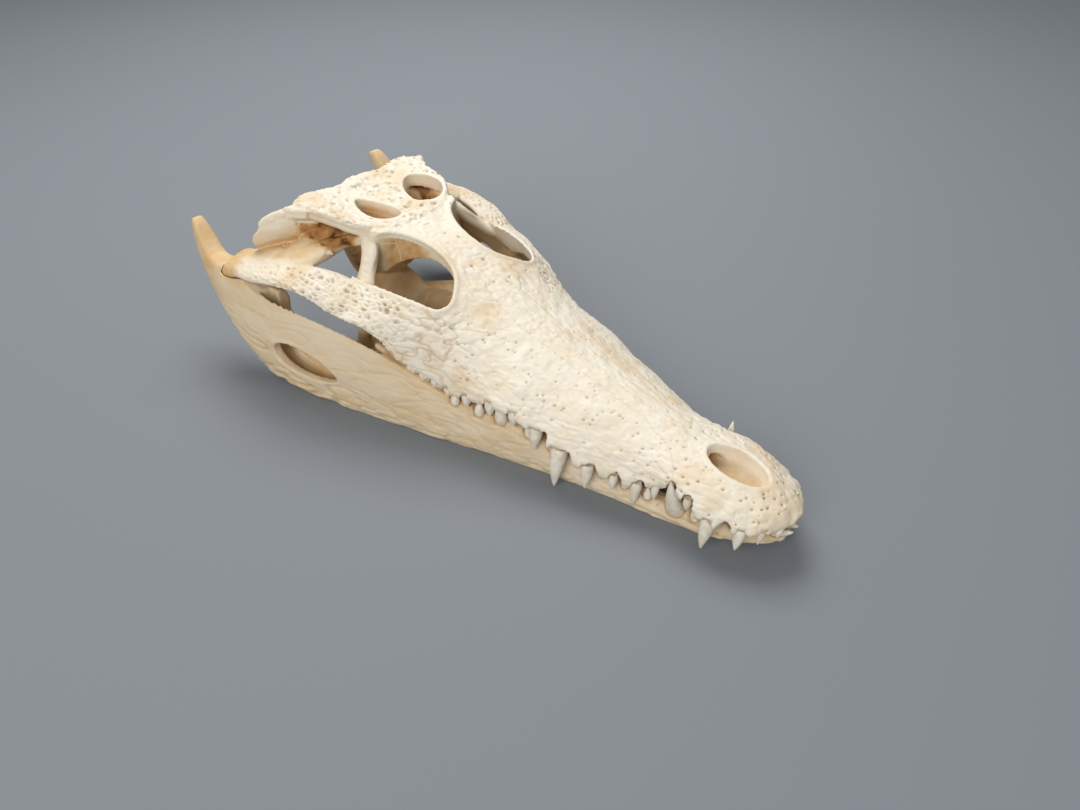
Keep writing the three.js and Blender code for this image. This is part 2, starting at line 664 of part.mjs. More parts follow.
function addBone(name, solid, colour) {
  const { vertProperties, triVerts, numProp } = solid.getMesh();
  const geometry = new THREE.BufferGeometry();
  const positions = new Float32Array((vertProperties.length / numProp) * 3);
  for (let i = 0; i < positions.length / 3; i += 1) {
    for (let axis = 0; axis < 3; axis += 1) {
      positions[3 * i + axis] = vertProperties[numProp * i + axis];
    }
  }
  geometry.setAttribute('position', new THREE.BufferAttribute(positions, 3));
  geometry.setIndex(new THREE.BufferAttribute(new Uint32Array(triVerts), 1));
  geometry.computeVertexNormals();
  const material = new THREE.MeshStandardMaterial({ color: colour, roughness: 0.7, metalness: 0 });
  const mesh = new THREE.Mesh(geometry, material);
  mesh.name = name;
  group.add(mesh);
}

const SIDES = [['left', 1], ['right', -1]];

// The whole upper skull, still in one piece.
function wholeCranium() {
  let whole = join([
    skullEnvelope().subtract(orbitHollow()).subtract(narisPit()),
    palatineBar(),
    pterygoid(),
    braincase(),
    skullTable(),
  ]);
  for (const [name, side] of SIDES) {
    whole = whole.subtract(orbitWindow(side));
    whole = join([whole, cheek(side), ectopterygoid(side), ...teeth(UPPER_TEETH, UPPER_ROW, side)]);
    whole = whole.subtract(upperWindow(name, side));
    whole = whole.subtract(fangNotches(side)).subtract(mouthRoom(side));
  }
  return whole;
}

let cranium = wholeCranium();

// Parts a bone off the skull, a suture's width short of what is left.
function partBone(name, colour, zones) {
  const bone = cranium.intersect(join(zones.map((frames) => zone(frames, SUTURE_GAP))));
  cranium = cranium.subtract(join(zones.map((frames) => zone(frames, 0))));
  addBone(name, bone, COLOURS[colour]);
}

for (const [name, colour, zones] of MIDDLE_BONES) {
  const spans = zones.map((frames) => (
    frames.map(([station, reach, low, high]) => [station, -reach, reach, low, high])
  ));
  partBone(name, colour, spans);
}
for (const [name, colour, zones] of PAIRED_BONES) {
  for (const [sideName, side] of SIDES) {
    const spans = zones.map((frames) => (
      frames.map(([station, near, far, low, high]) => [station, side * near, side * far, low, high])
    ));
    partBone(`${name}_${sideName}`, colour, spans);
  }
}

for (const [sideName, side] of SIDES) {
  const whole = jawHalf(side);
  for (const [name, colour, from, to] of JAW_BONES) {
    addBone(`${name}_${sideName}`, between(whole, from, to), COLOURS[colour]);
  }
}

// The part stands on the middle of its base.
const extent = new THREE.Box3().setFromObject(group);
const middle = extent.getCenter(new THREE.Vector3());
group.position.set(-middle.x, -middle.y, -extent.min.z);

export default group;
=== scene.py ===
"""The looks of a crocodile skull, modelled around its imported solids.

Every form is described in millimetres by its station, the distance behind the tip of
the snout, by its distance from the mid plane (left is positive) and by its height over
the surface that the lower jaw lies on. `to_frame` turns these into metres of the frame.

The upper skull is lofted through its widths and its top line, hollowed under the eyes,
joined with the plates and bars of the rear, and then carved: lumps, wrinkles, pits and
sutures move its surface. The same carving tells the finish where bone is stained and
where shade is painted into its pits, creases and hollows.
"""

import logging
import math
from dataclasses import dataclass, field
from enum import Enum
from typing import Sequence

import bmesh
import bpy
import numpy as np
from mathutils import Matrix, Vector


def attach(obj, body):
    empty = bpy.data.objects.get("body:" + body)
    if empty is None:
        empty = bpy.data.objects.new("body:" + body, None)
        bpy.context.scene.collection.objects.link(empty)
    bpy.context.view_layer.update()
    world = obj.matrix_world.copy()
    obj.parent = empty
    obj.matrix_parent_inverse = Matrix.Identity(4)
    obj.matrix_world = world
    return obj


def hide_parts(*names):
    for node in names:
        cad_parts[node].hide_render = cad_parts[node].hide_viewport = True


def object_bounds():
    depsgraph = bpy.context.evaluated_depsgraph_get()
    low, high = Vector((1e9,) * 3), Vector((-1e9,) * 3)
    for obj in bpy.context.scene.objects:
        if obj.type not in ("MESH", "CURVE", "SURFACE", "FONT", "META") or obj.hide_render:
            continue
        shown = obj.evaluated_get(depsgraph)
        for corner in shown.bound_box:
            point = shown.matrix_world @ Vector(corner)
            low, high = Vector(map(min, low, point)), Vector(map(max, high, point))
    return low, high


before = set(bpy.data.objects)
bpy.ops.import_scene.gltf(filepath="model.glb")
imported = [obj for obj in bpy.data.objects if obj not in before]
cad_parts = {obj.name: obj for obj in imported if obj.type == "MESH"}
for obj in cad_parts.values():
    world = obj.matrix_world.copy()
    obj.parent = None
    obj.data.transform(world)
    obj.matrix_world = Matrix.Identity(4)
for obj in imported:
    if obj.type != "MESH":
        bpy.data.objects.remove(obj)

CAD_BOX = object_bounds()
log = logging.getLogger("skull")

Array = np.ndarray
Knots = Sequence[tuple[float, float]]
Rows = Sequence[Sequence[float]]
Size = float | Sequence[float]
Triple = tuple[float, float, float]
Piece = bpy.types.Object
Socket = bpy.types.NodeSocket

MM = 0.001
NOSE = CAD_BOX[1].x / MM          # station 0 in the frame, in millimetres
SIDES = {"left": 1, "right": -1}
FAR = 1e9                         # more millimetres than lie between any two points


def to_frame(points: Array) -> Array:
    """Station, side and height in millimetres as points of the frame in metres.

    Args:
        points: An array whose last axis is station, side, height.

    Returns:
        The same points as x, y, z in metres.
    """
    placed = np.array(points, float) * MM
    placed[..., 0] = NOSE * MM - placed[..., 0]
    return placed


def to_skull(points: Array) -> Array:
    """Points of the frame in metres as station, side and height in millimetres."""
    placed = np.array(points, float) / MM
    placed[..., 0] = NOSE - placed[..., 0]
    return placed


def ease(share: Array) -> Array:
    """A share from 0 to 1 that leaves 0 and reaches 1 gently."""
    return share * share * (3 - 2 * share)


def smoothstep(value: Array, low: float, high: float) -> Array:
    """A soft step from 0 at low to 1 at high, which may be the smaller of the two."""
    return ease(np.clip((np.asarray(value, float) - low) / (high - low), 0, 1))


def window(value: Array, start: float, full: float, full_end: float, end: float) -> Array:
    """A soft window: 0 before start, 1 from full to full_end, 0 after end."""
    return smoothstep(value, start, full) * (1 - smoothstep(value, full_end, end))


class Profile:
    """A line through knots, with slopes limited so that it never swings past a knot."""

    def __init__(self, knots: Knots) -> None:
        """Keeps the knots and works out the slope at each.

        Args:
            knots: Pairs of station and size, in order.
        """
        self.place, self.size = np.array(knots, float).T
        rise = np.diff(self.size)
        slope = np.zeros(len(knots))
        middle = (self.size[2:] - self.size[:-2]) / (self.place[2:] - self.place[:-2])
        slope[1:-1] = np.where(rise[1:] * rise[:-1] > 0, middle, 0)
        slope[0] = rise[0] / (self.place[1] - self.place[0])
        slope[-1] = rise[-1] / (self.place[-1] - self.place[-2])
        self.slope = slope

    def __call__(self, station: float | Array) -> Array:
        """The size at a station, or at each of an array of stations."""
        s = np.clip(station, self.place[0], self.place[-1])
        i = np.clip(np.searchsorted(self.place, s, side="right") - 1, 0, len(self.place) - 2)
        gap = self.place[i + 1] - self.place[i]
        t = (s - self.place[i]) / gap
        leave = t * (1 - t) ** 2 * gap * self.slope[i]
        arrive = t * t * (t - 1) * gap * self.slope[i + 1]
        return self.size[i] + (self.size[i + 1] - self.size[i]) * ease(t) + leave + arrive


# ---- noise ----------------------------------------------------------------------------


WORD = 0xFFFFFFFF                 # the numbers are mixed as words of 32 bits


def scatter(cell: Array, seed: int) -> Array:
    """A fixed pseudo-random number from 0 to 1 for each whole-numbered cell.

    Args:
        cell: Integer cell numbers; the last axis is x, y, z.
        seed: Another seed gives other numbers.

    Returns:
        One number per cell.
    """
    key = cell.astype(np.int64) + 4096
    mixed = key[..., 0] * 73856093 ^ key[..., 1] * 19349663 ^ key[..., 2] * 83492791
    mixed = (mixed ^ (seed * 2654435761)) & WORD
    for shift, factor in ((15, 2246822519), (13, 3266489917)):
        mixed = ((mixed ^ (mixed >> shift)) * factor) & WORD
    return (mixed ^ (mixed >> 16)) / WORD


def lumps(points: Array, size: Size, seed: int, octaves: int = 1) -> Array:
    """Smooth noise from -1 to 1.

    Args:
        points: Places in millimetres.
        size: The width of a lump, or its width along each axis.
        seed: Another seed gives other lumps.
        octaves: Finer layers are added, each half as wide and half as strong.

    Returns:
        One value per point.
    """
    total = np.zeros(len(points))
    for octave in range(octaves):
        scaled = points / np.asarray(size, float) * 2 ** octave
        low = np.floor(scaled).astype(int)
        t = ease(scaled - low)
        value = np.zeros(len(points))
        for corner in np.ndindex(2, 2, 2):
            share = np.prod(np.where(corner, t, 1 - t), axis=1)
            value += share * scatter(low + corner, seed + octave)
        total += (2 * value - 1) * 0.5 ** octave
    return total


CELL_SEEDS = (11, 23, 37)         # added to the seed: where a cell's seed lies in it
OWN_SEED = 51                     # added to the seed: the cell's own number


def cells(points: Array, size: Size, seed: int) -> tuple[Array, Array, Array]:
    """Distances to the nearest two of the seeds strewn through space.

    Args:
        points: Places in millimetres.
        size: The spacing of the seeds, or the spacing along each axis.
        seed: Another seed number strews them elsewhere.

    Returns:
        Distance to the nearest and to the second nearest, both as a share of the
        spacing, and a number from 0 to 1 that is the nearest cell's own.
    """
    scaled = points / np.asarray(size, float)
    low = np.floor(scaled).astype(int)
    first = np.full(len(points), FAR)
    second = np.full(len(points), FAR)
    own = np.zeros(len(points))
    for step in np.ndindex(3, 3, 3):
        cell = low + (np.array(step) - 1)
        place = cell + np.stack([scatter(cell, seed + k) for k in CELL_SEEDS], axis=1)
        gap = np.linalg.norm(scaled - place, axis=1)
        nearer = gap < first
        second = np.where(nearer, first, np.minimum(second, gap))
        own = np.where(nearer, scatter(cell, seed + OWN_SEED), own)
        first = np.where(nearer, gap, first)
    return first, second, own


# ---- the skull's driving lines ----------------------------------------------------------


class Lines(Enum):
    """The long lines of the skull and the lower jaw, each through its knots."""

    UPPER_HALF_WIDTH = (
        (0, 4.5), (5, 13.8), (12, 20.8), (20, 25.2), (32, 28.2), (42, 28), (54, 25.5),
        (62, 26.5), (76, 31.5), (103, 39), (130, 42.5), (170, 50), (205, 58.5), (246, 69.5),
        (262, 72.5),
    )
    TOP = (
        (0, 23), (5, 27), (12, 31), (22, 34.2), (34, 36), (50, 37), (75, 41), (100, 46),
        (130, 53), (160, 62), (190, 73), (215, 83), (245, 91), (265, 96), (300, 98),
    )
    GUM = (
        (0, 21), (8, 19), (20, 17.5), (30, 18), (44, 23), (54, 23.5), (70, 17), (82, 17.5),
        (95, 19), (110, 22.5), (123, 28), (138, 33.5), (150, 34), (163, 33), (178, 34.5),
        (190, 38), (200, 41.5), (208, 47.5), (215, 54), (222, 57.5), (236, 59.5), (250, 63),
    )
    CROWN_POWER = (
        (0, 2), (15, 1.8), (45, 2), (62, 2.1), (76, 1.75), (105, 1.75), (122, 1.55),
        (150, 1.6), (180, 1.9), (197, 2.2), (206, 1.9), (216, 1.4), (230, 1.05), (250, 0.8),
    )
    BROW_SHARE = ((180, 0), (198, 0.16), (215, 0.24), (232, 0.3), (250, 0.42))
    JAW_OUTER = (
        (3.5, 3), (7, 7), (12, 10.8), (22, 15.8), (32, 19), (45, 21.8), (60, 24), (90, 29.5),
        (136, 41), (185, 56), (216, 65.5), (262, 78), (285, 83), (310, 85), (330, 83.5),
        (348, 79.5), (363, 75), (373, 70.5),
    )
    JAW_THICKNESS = (
        (3.5, 3), (7, 7), (12, 10.8), (22, 15.8), (45, 21.8), (52, 13), (80, 11), (150, 10.5),
        (200, 12.5), (240, 14.8), (262, 17.5), (282, 19.5), (305, 24), (320, 28), (335, 23),
        (348, 16), (362, 12), (373, 6.5),
    )
    JAW_KEEL = ((60, 0.35), (230, 0.4), (280, 0.55), (310, 0.65), (340, 0.5))
    JAW_TOP = (
        (3.5, 9.5), (10, 11.5), (25, 10.5), (45, 8.5), (68, 9), (83, 10.5), (100, 13.5),
        (125, 20.5), (141, 25), (164, 27), (182, 32.5), (209, 43.5), (231, 49.5), (262, 54.5),
        (284, 57), (298, 56.5), (312, 60.5), (330, 61), (341, 58.5), (349, 59.5), (357, 66),
        (363, 72.5), (368, 76.5), (373, 74.5),
    )
    JAW_BOTTOM = (
        (3.5, 7), (10, 5), (22, 2.5), (36, 0), (42, -0.6), (266, -0.6), (278, 0), (288, 1.5),
        (303, 5), (319, 14), (336, 28), (350, 38.5), (362, 49), (370, 61), (373, 69),
    )

    def __init__(self, *knots: tuple[float, float]) -> None:
        """Draws the line through its knots once, when the file is read."""
        self.profile = Profile(knots)

    def __call__(self, station: float | Array) -> Array:
        """The line's size at a station or at each of an array of stations."""
        return self.profile(station)


class Plane(Enum):
    """The plane that the ovals of a strut stand in."""

    ACROSS = "across the skull"
    ALONG = "along the skull"
    LEVEL = "level"


# ---- modelling by operators -------------------------------------------------------------


def choose(*pieces: Piece) -> None:
    """Selects the pieces alone and makes the first of them active."""
    bpy.ops.object.select_all(action="DESELECT")
    for piece in pieces:
        piece.select_set(True)
    bpy.context.view_layer.objects.active = pieces[0]


def loft(name: str, rings: Array) -> Piece:
    """A closed body through rings of equally many points, extruded ring by ring.

    Args:
        name: The object's name.
        rings: Station, side and height in millimetres, as rings x points x 3.

    Returns:
        The body, with its faces pointing outwards.
    """
    placed = to_frame(rings)
    bpy.ops.object.select_all(action="DESELECT")
    bpy.ops.mesh.primitive_circle_add(vertices=placed.shape[1], radius=MM, fill_type="NGON")
    piece = bpy.context.object
    piece.name = name
    bpy.ops.object.mode_set(mode="EDIT")
    body = bmesh.from_edit_mesh(piece.data)
    order = body.verts.layers.int.new("order")
    for number, vert in enumerate(body.verts):
        vert[order] = number
        vert.co = placed[0][number]
    bmesh.update_edit_mesh(piece.data)
    bpy.ops.mesh.select_all(action="SELECT")
    for ring in placed[1:]:
        bpy.ops.mesh.extrude_region_move()
        body = bmesh.from_edit_mesh(piece.data)
        order = body.verts.layers.int["order"]
        for vert in body.verts:
            if vert.select:
                vert.co = ring[vert[order]]
        bmesh.update_edit_mesh(piece.data)
    bpy.ops.mesh.select_all(action="SELECT")
    bpy.ops.mesh.normals_make_consistent(inside=False)
    bpy.ops.object.mode_set(mode="OBJECT")
    piece.data.attributes.remove(piece.data.attributes["order"])
    return piece


def finish_with(piece: Piece, kind: str, **settings: object) -> None:
    """Adds a modifier to a piece and applies it.

    Args:
        piece: The piece to change.
        kind: The modifier's type.
        settings: The modifier's properties and their values.
    """
    choose(piece)
    modifier = piece.modifiers.new(kind.lower(), kind)
    for setting, value in settings.items():
        setattr(modifier, setting, value)
    bpy.ops.object.modifier_apply(modifier=modifier.name)


def combine(piece: Piece, tool: Piece, how: str, keep: bool = False) -> None:
    """Joins, cuts or intersects a piece with a tool, which is then thrown away.

    Args:
        piece: The piece to change.
        tool: The other body.
        how: UNION, DIFFERENCE or INTERSECT.
        keep: Whether the tool is still needed.
    """
    finish_with(piece, "BOOLEAN", operation=how, solver="MANIFOLD", object=tool)
    if not keep:
        bpy.data.objects.remove(tool)


def unite(name: str, parts: Sequence[Piece]) -> Piece:
    """Joins overlapping bodies into one solid.

    Args:
        name: The name of the solid.
        parts: The bodies; all but the first are used up.

    Returns:
        The solid.
    """
    whole = parts[0]
    for part in parts[1:]:
        combine(whole, part, "UNION")
    whole.name = name
    return whole


def duplicate(piece: Piece, name: str) -> Piece:
    """A copy of a piece with its own mesh."""
    copy = piece.copy()
    copy.data = piece.data.copy()
    copy.name = name
    bpy.context.collection.objects.link(copy)
    return copy


def read_places(piece: Piece) -> Array:
    """The piece's points as x, y and z in metres."""
    flat = np.empty(len(piece.data.vertices) * 3, np.float32)
    piece.data.vertices.foreach_get("co", flat)
    return flat.reshape(-1, 3)


def write_places(piece: Piece, places: Array) -> None:
    """Moves the piece's points to places in metres."""
    piece.data.vertices.foreach_set("co", places.astype(np.float32).ravel())
    piece.data.update()


def read_points(piece: Piece) -> Array:
    """The piece's points as station, side and height in millimetres."""
    return to_skull(read_places(piece))


def write_points(piece: Piece, points: Array) -> None:
    """Moves the piece's points to stations, sides and heights in millimetres."""
    write_places(piece, to_frame(points))


def read_facing(piece: Piece) -> Array:
    """The direction that each point of the surface faces, along station, side, height."""
    flat = np.empty(len(piece.data.vertices) * 3, np.float32)
    piece.data.vertex_normals.foreach_get("vector", flat)
    return flat.reshape(-1, 3) * (-1, 1, 1)


def soften(piece: Piece, voxel: float, rounds: int) -> None:
    """Gives a body a fine even skin and rounds its edges off.

    Args:
        piece: The body.
        voxel: The size of the skin's faces in millimetres.
        rounds: How often it is smoothed.
    """
    finish_with(piece, "REMESH", mode="VOXEL", voxel_size=voxel * MM)
    finish_with(piece, "SMOOTH", factor=0.5, iterations=rounds)


def part_off(whole: Piece, room: Piece, name: str) -> Piece:
    """Takes what lies in a room off a body.

    Args:
        whole: The body, which keeps the rest.
        room: The room, which is used up.
        name: The name of the new piece.

    Returns:
        The new piece.
    """
    piece = duplicate(whole, name)
    combine(piece, room, "INTERSECT", keep=True)
    combine(whole, room, "DIFFERENCE")
    return piece


def write_field(piece: Piece, name: str, values: Array) -> None:
    """Stores one number per point that the finish reads by its name."""
    layer = piece.data.attributes.new(name, "FLOAT", "POINT")
    layer.data.foreach_set("value", np.clip(values, 0, 1).astype(np.float32))


def span(first: float, last: float, step: float) -> Array:
    """Stations from the first to the last, about a step apart."""
    return np.linspace(first, last, max(2, round((last - first) / step) + 1))


def curve_through(places: Array, steps: int) -> list[Array]:
    """Points along a smooth curve from the second of the places to the last but one.

    Args:
        places: The places; the first and the last only bend the curve.
        steps: How many points replace each step from one place to the next.

    Returns:
        The curve's points, without its last one.
    """
    return [
        b + 0.5 * t * (c - a + t * (2 * a - 5 * b + 4 * c - d + t * (3 * (b - c) + d - a)))
        for a, b, c, d in zip(places, places[1:], places[2:], places[3:])
        for t in np.arange(steps) / steps
    ]


def ease_rows(rows: Rows, steps: int) -> Array:
    """Rows of sizes with smoothly eased rows in between.

    Args:
        rows: The given rows.
        steps: How many rows replace each step from one given row to the next.

    Returns:
        The finer table.
    """
    table = np.array(rows, float)
    padded = np.vstack([2 * table[0] - table[1], table, 2 * table[-1] - table[-2]])
    return np.array([*curve_through(padded, steps), table[-1]])


def round_off(corners: Array, steps: int) -> Array:
    """A closed outline as a smooth curve through its corners.

    Args:
        corners: The corners, in order.
        steps: How many points replace each side.

    Returns:
        The curve's points.
    """
    return np.array(curve_through(np.vstack([corners[-1:], corners, corners[:2]]), steps))


def round_angles(count: int) -> Array:
    """The angles of evenly spaced points round a circle."""
    return np.linspace(0, 2 * math.pi, count, endpoint=False)


STRUT_POINTS = 22                 # round each oval
STRUT_STEPS = 4                   # ovals for each step from one given row to the next
STRUT_FULLNESS = 0.95             # the ovals beside the sizes that the rows give


def strut(
    name: str, rows: Rows, side: int, plane: Plane, spare: float = 0,
) -> Piece:
    """A plate or bar made of flattened ovals along its run.

    Args:
        name: The object's name.
        rows: Station, side, height, half width, half thickness and, where it is rolled,
            the roll in degrees, from one end to the other.
        side: 1 on the left, -1 on the right.
        plane: The plane that the ovals stand in.
        spare: How much thicker the strut is made all round.

    Returns:
        The strut.
    """
    full = [(*row, 0)[:6] for row in rows]
    station, across, height, wide, thick, roll = ease_rows(full, STRUT_STEPS).T[..., None]
    angle = round_angles(STRUT_POINTS)
    u = (wide + spare) * STRUT_FULLNESS * np.cos(angle)
    v = (thick + spare) * STRUT_FULLNESS * np.sin(angle)
    turn = np.radians(roll)
    flat = u * np.cos(turn) - v * np.sin(turn)
    up = u * np.sin(turn) + v * np.cos(turn)
    none = np.zeros_like(flat)
    ds, dy, dz = {
        Plane.ACROSS: (none, flat, up),
        Plane.ALONG: (flat, none, up),
        Plane.LEVEL: (flat, up, none),
    }[plane]
    return loft(name, np.stack([station + ds, side * (across + dy), height + dz], axis=-1))


def oval(station: float, side: float, half_length: float, half_width: float, turn: float,
         count: int) -> Array:
    """An oval outline in plan, as station and side."""
    angle = round_angles(count)
    along, across = half_length * np.cos(angle), half_width * np.sin(angle)
    return np.stack([
        station + along * math.cos(turn) - across * math.sin(turn),
        side + along * math.sin(turn) + across * math.cos(turn),
    ], axis=-1)


def stack_rings(outlines: Sequence[Array], heights: Sequence[Array | float]) -> Array:
    """Outlines in plan, each lifted to its height, as rings for a loft."""
    return np.array([
        np.column_stack([outline, np.broadcast_to(height, len(outline))])
        for outline, height in zip(outlines, heights)
    ])


def gap_to(line: Array, points: Array, closed: bool = True) -> Array:
    """The distance in plan from each point to a line, in millimetres.

    Args:
        line: The line's corners, in order.
        points: The points, of which only the first two columns count.
        closed: Whether the line returns to its first corner.

    Returns:
        One distance per point.
    """
    best = np.full(len(points), FAR)
    for start, end in zip(line, np.roll(line, -1, axis=0) if closed else line[1:]):
        run = end - start
        t = np.clip(((points[:, :2] - start) @ run) / (run @ run), 0, 1)
        gap = np.linalg.norm(points[:, :2] - start - t[:, None] * run, axis=1)
        best = np.minimum(best, gap)
    return best


def blob(points: Array, centre: Sequence[float], reach: Sequence[float]) -> Array:
    """A soft spot, the same on the left and the right: 1 at its centre, fading outwards."""
    mirrored = points.copy()
    mirrored[:, 1] = np.abs(mirrored[:, 1])
    return np.exp(-(((mirrored - centre) / reach) ** 2).sum(axis=1))


# ---- carving ----------------------------------------------------------------------------

LEAST_SHARE = 0.02                # points that take part by less than this are left alone
SEAM_DARK = 0.45                  # how dark a suture is beside the bottom of a pit
SEAM_WANDER = 0.9                 # how far a suture strays from its line


class Carving:
    """A surface under the chisel: how far it moves, and its staining and painted shade."""

    def __init__(self, piece: Piece) -> None:
        """Reads the surface's points and the way it faces.

        Args:
            piece: The body to carve.
        """
        self.piece = piece
        self.points = read_points(piece)
        self.facing = read_facing(piece)
        self.station, self.side, self.height = self.points.T
        self.out = np.abs(self.side)
        self.outward = self.facing[:, 1] * np.sign(self.side)
        self.raised = np.zeros(len(self.points))
        self.pit, self.stain_and_shade, self.warm = np.zeros((3, len(self.points)))

    def lumps(self, share: Array, depth: float, size: Size, seed: int,
              octaves: int = 1) -> None:
        """Raises and lowers the surface softly by up to the depth."""
        self.raised += share * depth * lumps(self.points, size, seed, octaves)

    def holes(self, share: Array, depth: float, spacing: Size,
              radius: tuple[float, float], seed: int, kept: float = 1, dark: float = 1) -> None:
        """Sinks scattered small pits.

        Args:
            share: How much each point takes part, from 0 to 1.
            depth: The depth of a pit.
            spacing: The mean distance from pit to pit, or one along each axis.
            radius: The smallest and the largest radius.
            seed: Another seed strews them elsewhere.
            kept: The share of the pits that is made.
            dark: How dark the painted shade at their bottoms is, from 0 to 1.
        """
        part = np.flatnonzero(share > LEAST_SHARE)
        near, _, own = cells(self.points[part], spacing, seed)
        size = radius[0] + (radius[1] - radius[0]) * own / kept
        gap = near * np.mean(spacing)
        hole = (1 - smoothstep(gap / size, 0.35, 1.15)) * (own < kept) * share[part]
        self.raised[part] -= depth * hole
        # painted shade at the bottoms of the pits
        self.tint("pit", hole * dark, part)

    def network(self, share: Array, depth: float, spacing: Size, seed: int,
                wall: float = 0.3, dark: float = 1) -> None:
        """Sinks pits that fill the surface and leave only thin walls between them."""
        part = np.flatnonzero(share > LEAST_SHARE)
        near, second, own = cells(self.points[part], spacing, seed)
        floor = smoothstep(second - near, 0.05, wall) * (0.55 + 0.45 * own)
        self.raised[part] += share[part] * depth * (0.35 - floor)
        # painted shade on the pits' floors
        self.tint("pit", share[part] * dark * floor ** 2, part)

    def creases(self, share: Array, depth: float, size: Sequence[float], seed: int,
                width: float = 0.16, dark: float = 0.25) -> None:
        """Sinks long wavy creases, which run where a stretched noise crosses zero."""
        part = np.flatnonzero(share > LEAST_SHARE)
        bent = self.points[part] + 2.2 * lumps(self.points[part], 19, seed + 7)[:, None]
        wave = lumps(bent, size, seed)
        crease = np.exp(-(wave / width) ** 2) * share[part]
        self.raised[part] -= depth * (crease - 0.3 * share[part])
        # painted shade in the creases
        self.tint("pit", crease * dark, part)

    def seam(self, line: Array, share: Array, depth: float, width: float) -> None:
        """Sinks a suture along a line in plan, given on the left and cut on both sides."""
        part = np.flatnonzero(share > LEAST_SHARE)
        plan = np.column_stack([self.station[part], self.out[part]])
        plan[:, 1] += SEAM_WANDER * lumps(self.points[part], 2.4, 91)
        plan[:, 0] += SEAM_WANDER * lumps(self.points[part], 2.4, 92)
        cut = np.exp(-(gap_to(line, plan, closed=False) / width) ** 2) * share[part]
        self.raised[part] -= depth * cut
        self.tint("pit", SEAM_DARK * cut, part)

    def sockets(self, teeth: Sequence["Tooth"], share: Array) -> None:
        """Sinks a ring of painted shade round every tooth and raises the bone beyond it a little.
        """
        for tooth in teeth:
            near = np.flatnonzero(
                (np.abs(self.points - tooth.root) < tooth.radius + 7).all(axis=1) & (share > 0)
            )
            offset = self.points[near] - tooth.root
            along = offset @ tooth.direction
            aside = offset - along[:, None] * tooth.direction
            gap = np.linalg.norm(aside, axis=1) - tooth.radius
            ring = (1 - smoothstep(gap, 0.2, 1.0)) * window(along, -5, -2.5, 2, 5) * share[near]
            collar = np.exp(-((gap - 1.9) / 0.9) ** 2) * window(along, -4, -2, 2, 4) * share[near]
            swell = np.exp(-((gap - 1.5) / 3.2) ** 2) * window(along, -10, -4, 1, 3) * share[near]
            bulge = 0.055 * min(tooth.length, 16)
            self.raised[near] += 0.3 * collar + bulge * swell - 1.1 * ring
            # painted shade in the ring round the tooth
            self.tint("pit", 0.9 * ring, near)
            self.tint("stain_and_shade", 0.22 * collar, near)

    def tint(self, name: str, amount: Array, part: Array | slice = slice(None)) -> None:
        """Strengthens a colour field to at least the amount.

        Args:
            name: pit (painted shade, dark sutures), stain (staining, painted shade) or warm.
            amount: The least strength, from 0 to 1, at each point of the part.
            part: The points that take part.
        """
        values = getattr(self, name)
        values[part] = np.maximum(values[part], amount)

    def apply(self) -> None:
        """Moves the surface and stores the fields that the finish reads."""
        moved = self.points + self.facing * self.raised[:, None]
        write_points(self.piece, moved)
        for name in ("pit", "stain_and_shade", "warm"):
            write_field(self.piece, name, getattr(self, name))


# ---- teeth ------------------------------------------------------------------------------


TOOTH_POINTS = 28                 # round a tooth
TOOTH_FULLNESS = 1.22             # the teeth beside the radii that their rows give
TOOTH_FOOT = 8                    # how much deeper the foot is set than the pattern has it
TOOTH_BEND = 0.16                 # how far the middle stands out, beside the length


@dataclass(frozen=True)
class Tooth:
    """One tooth: where it leaves the bone, where it points and how big it is.

    Attributes:
        root: Station, side and height of the point where it leaves the bone.
        direction: The way it points, along station, side and height.
        length: How far it stands out of the bone.
        radius: Its radius at the bone.
    """

    root: Array
    direction: Array
    length: float
    radius: float


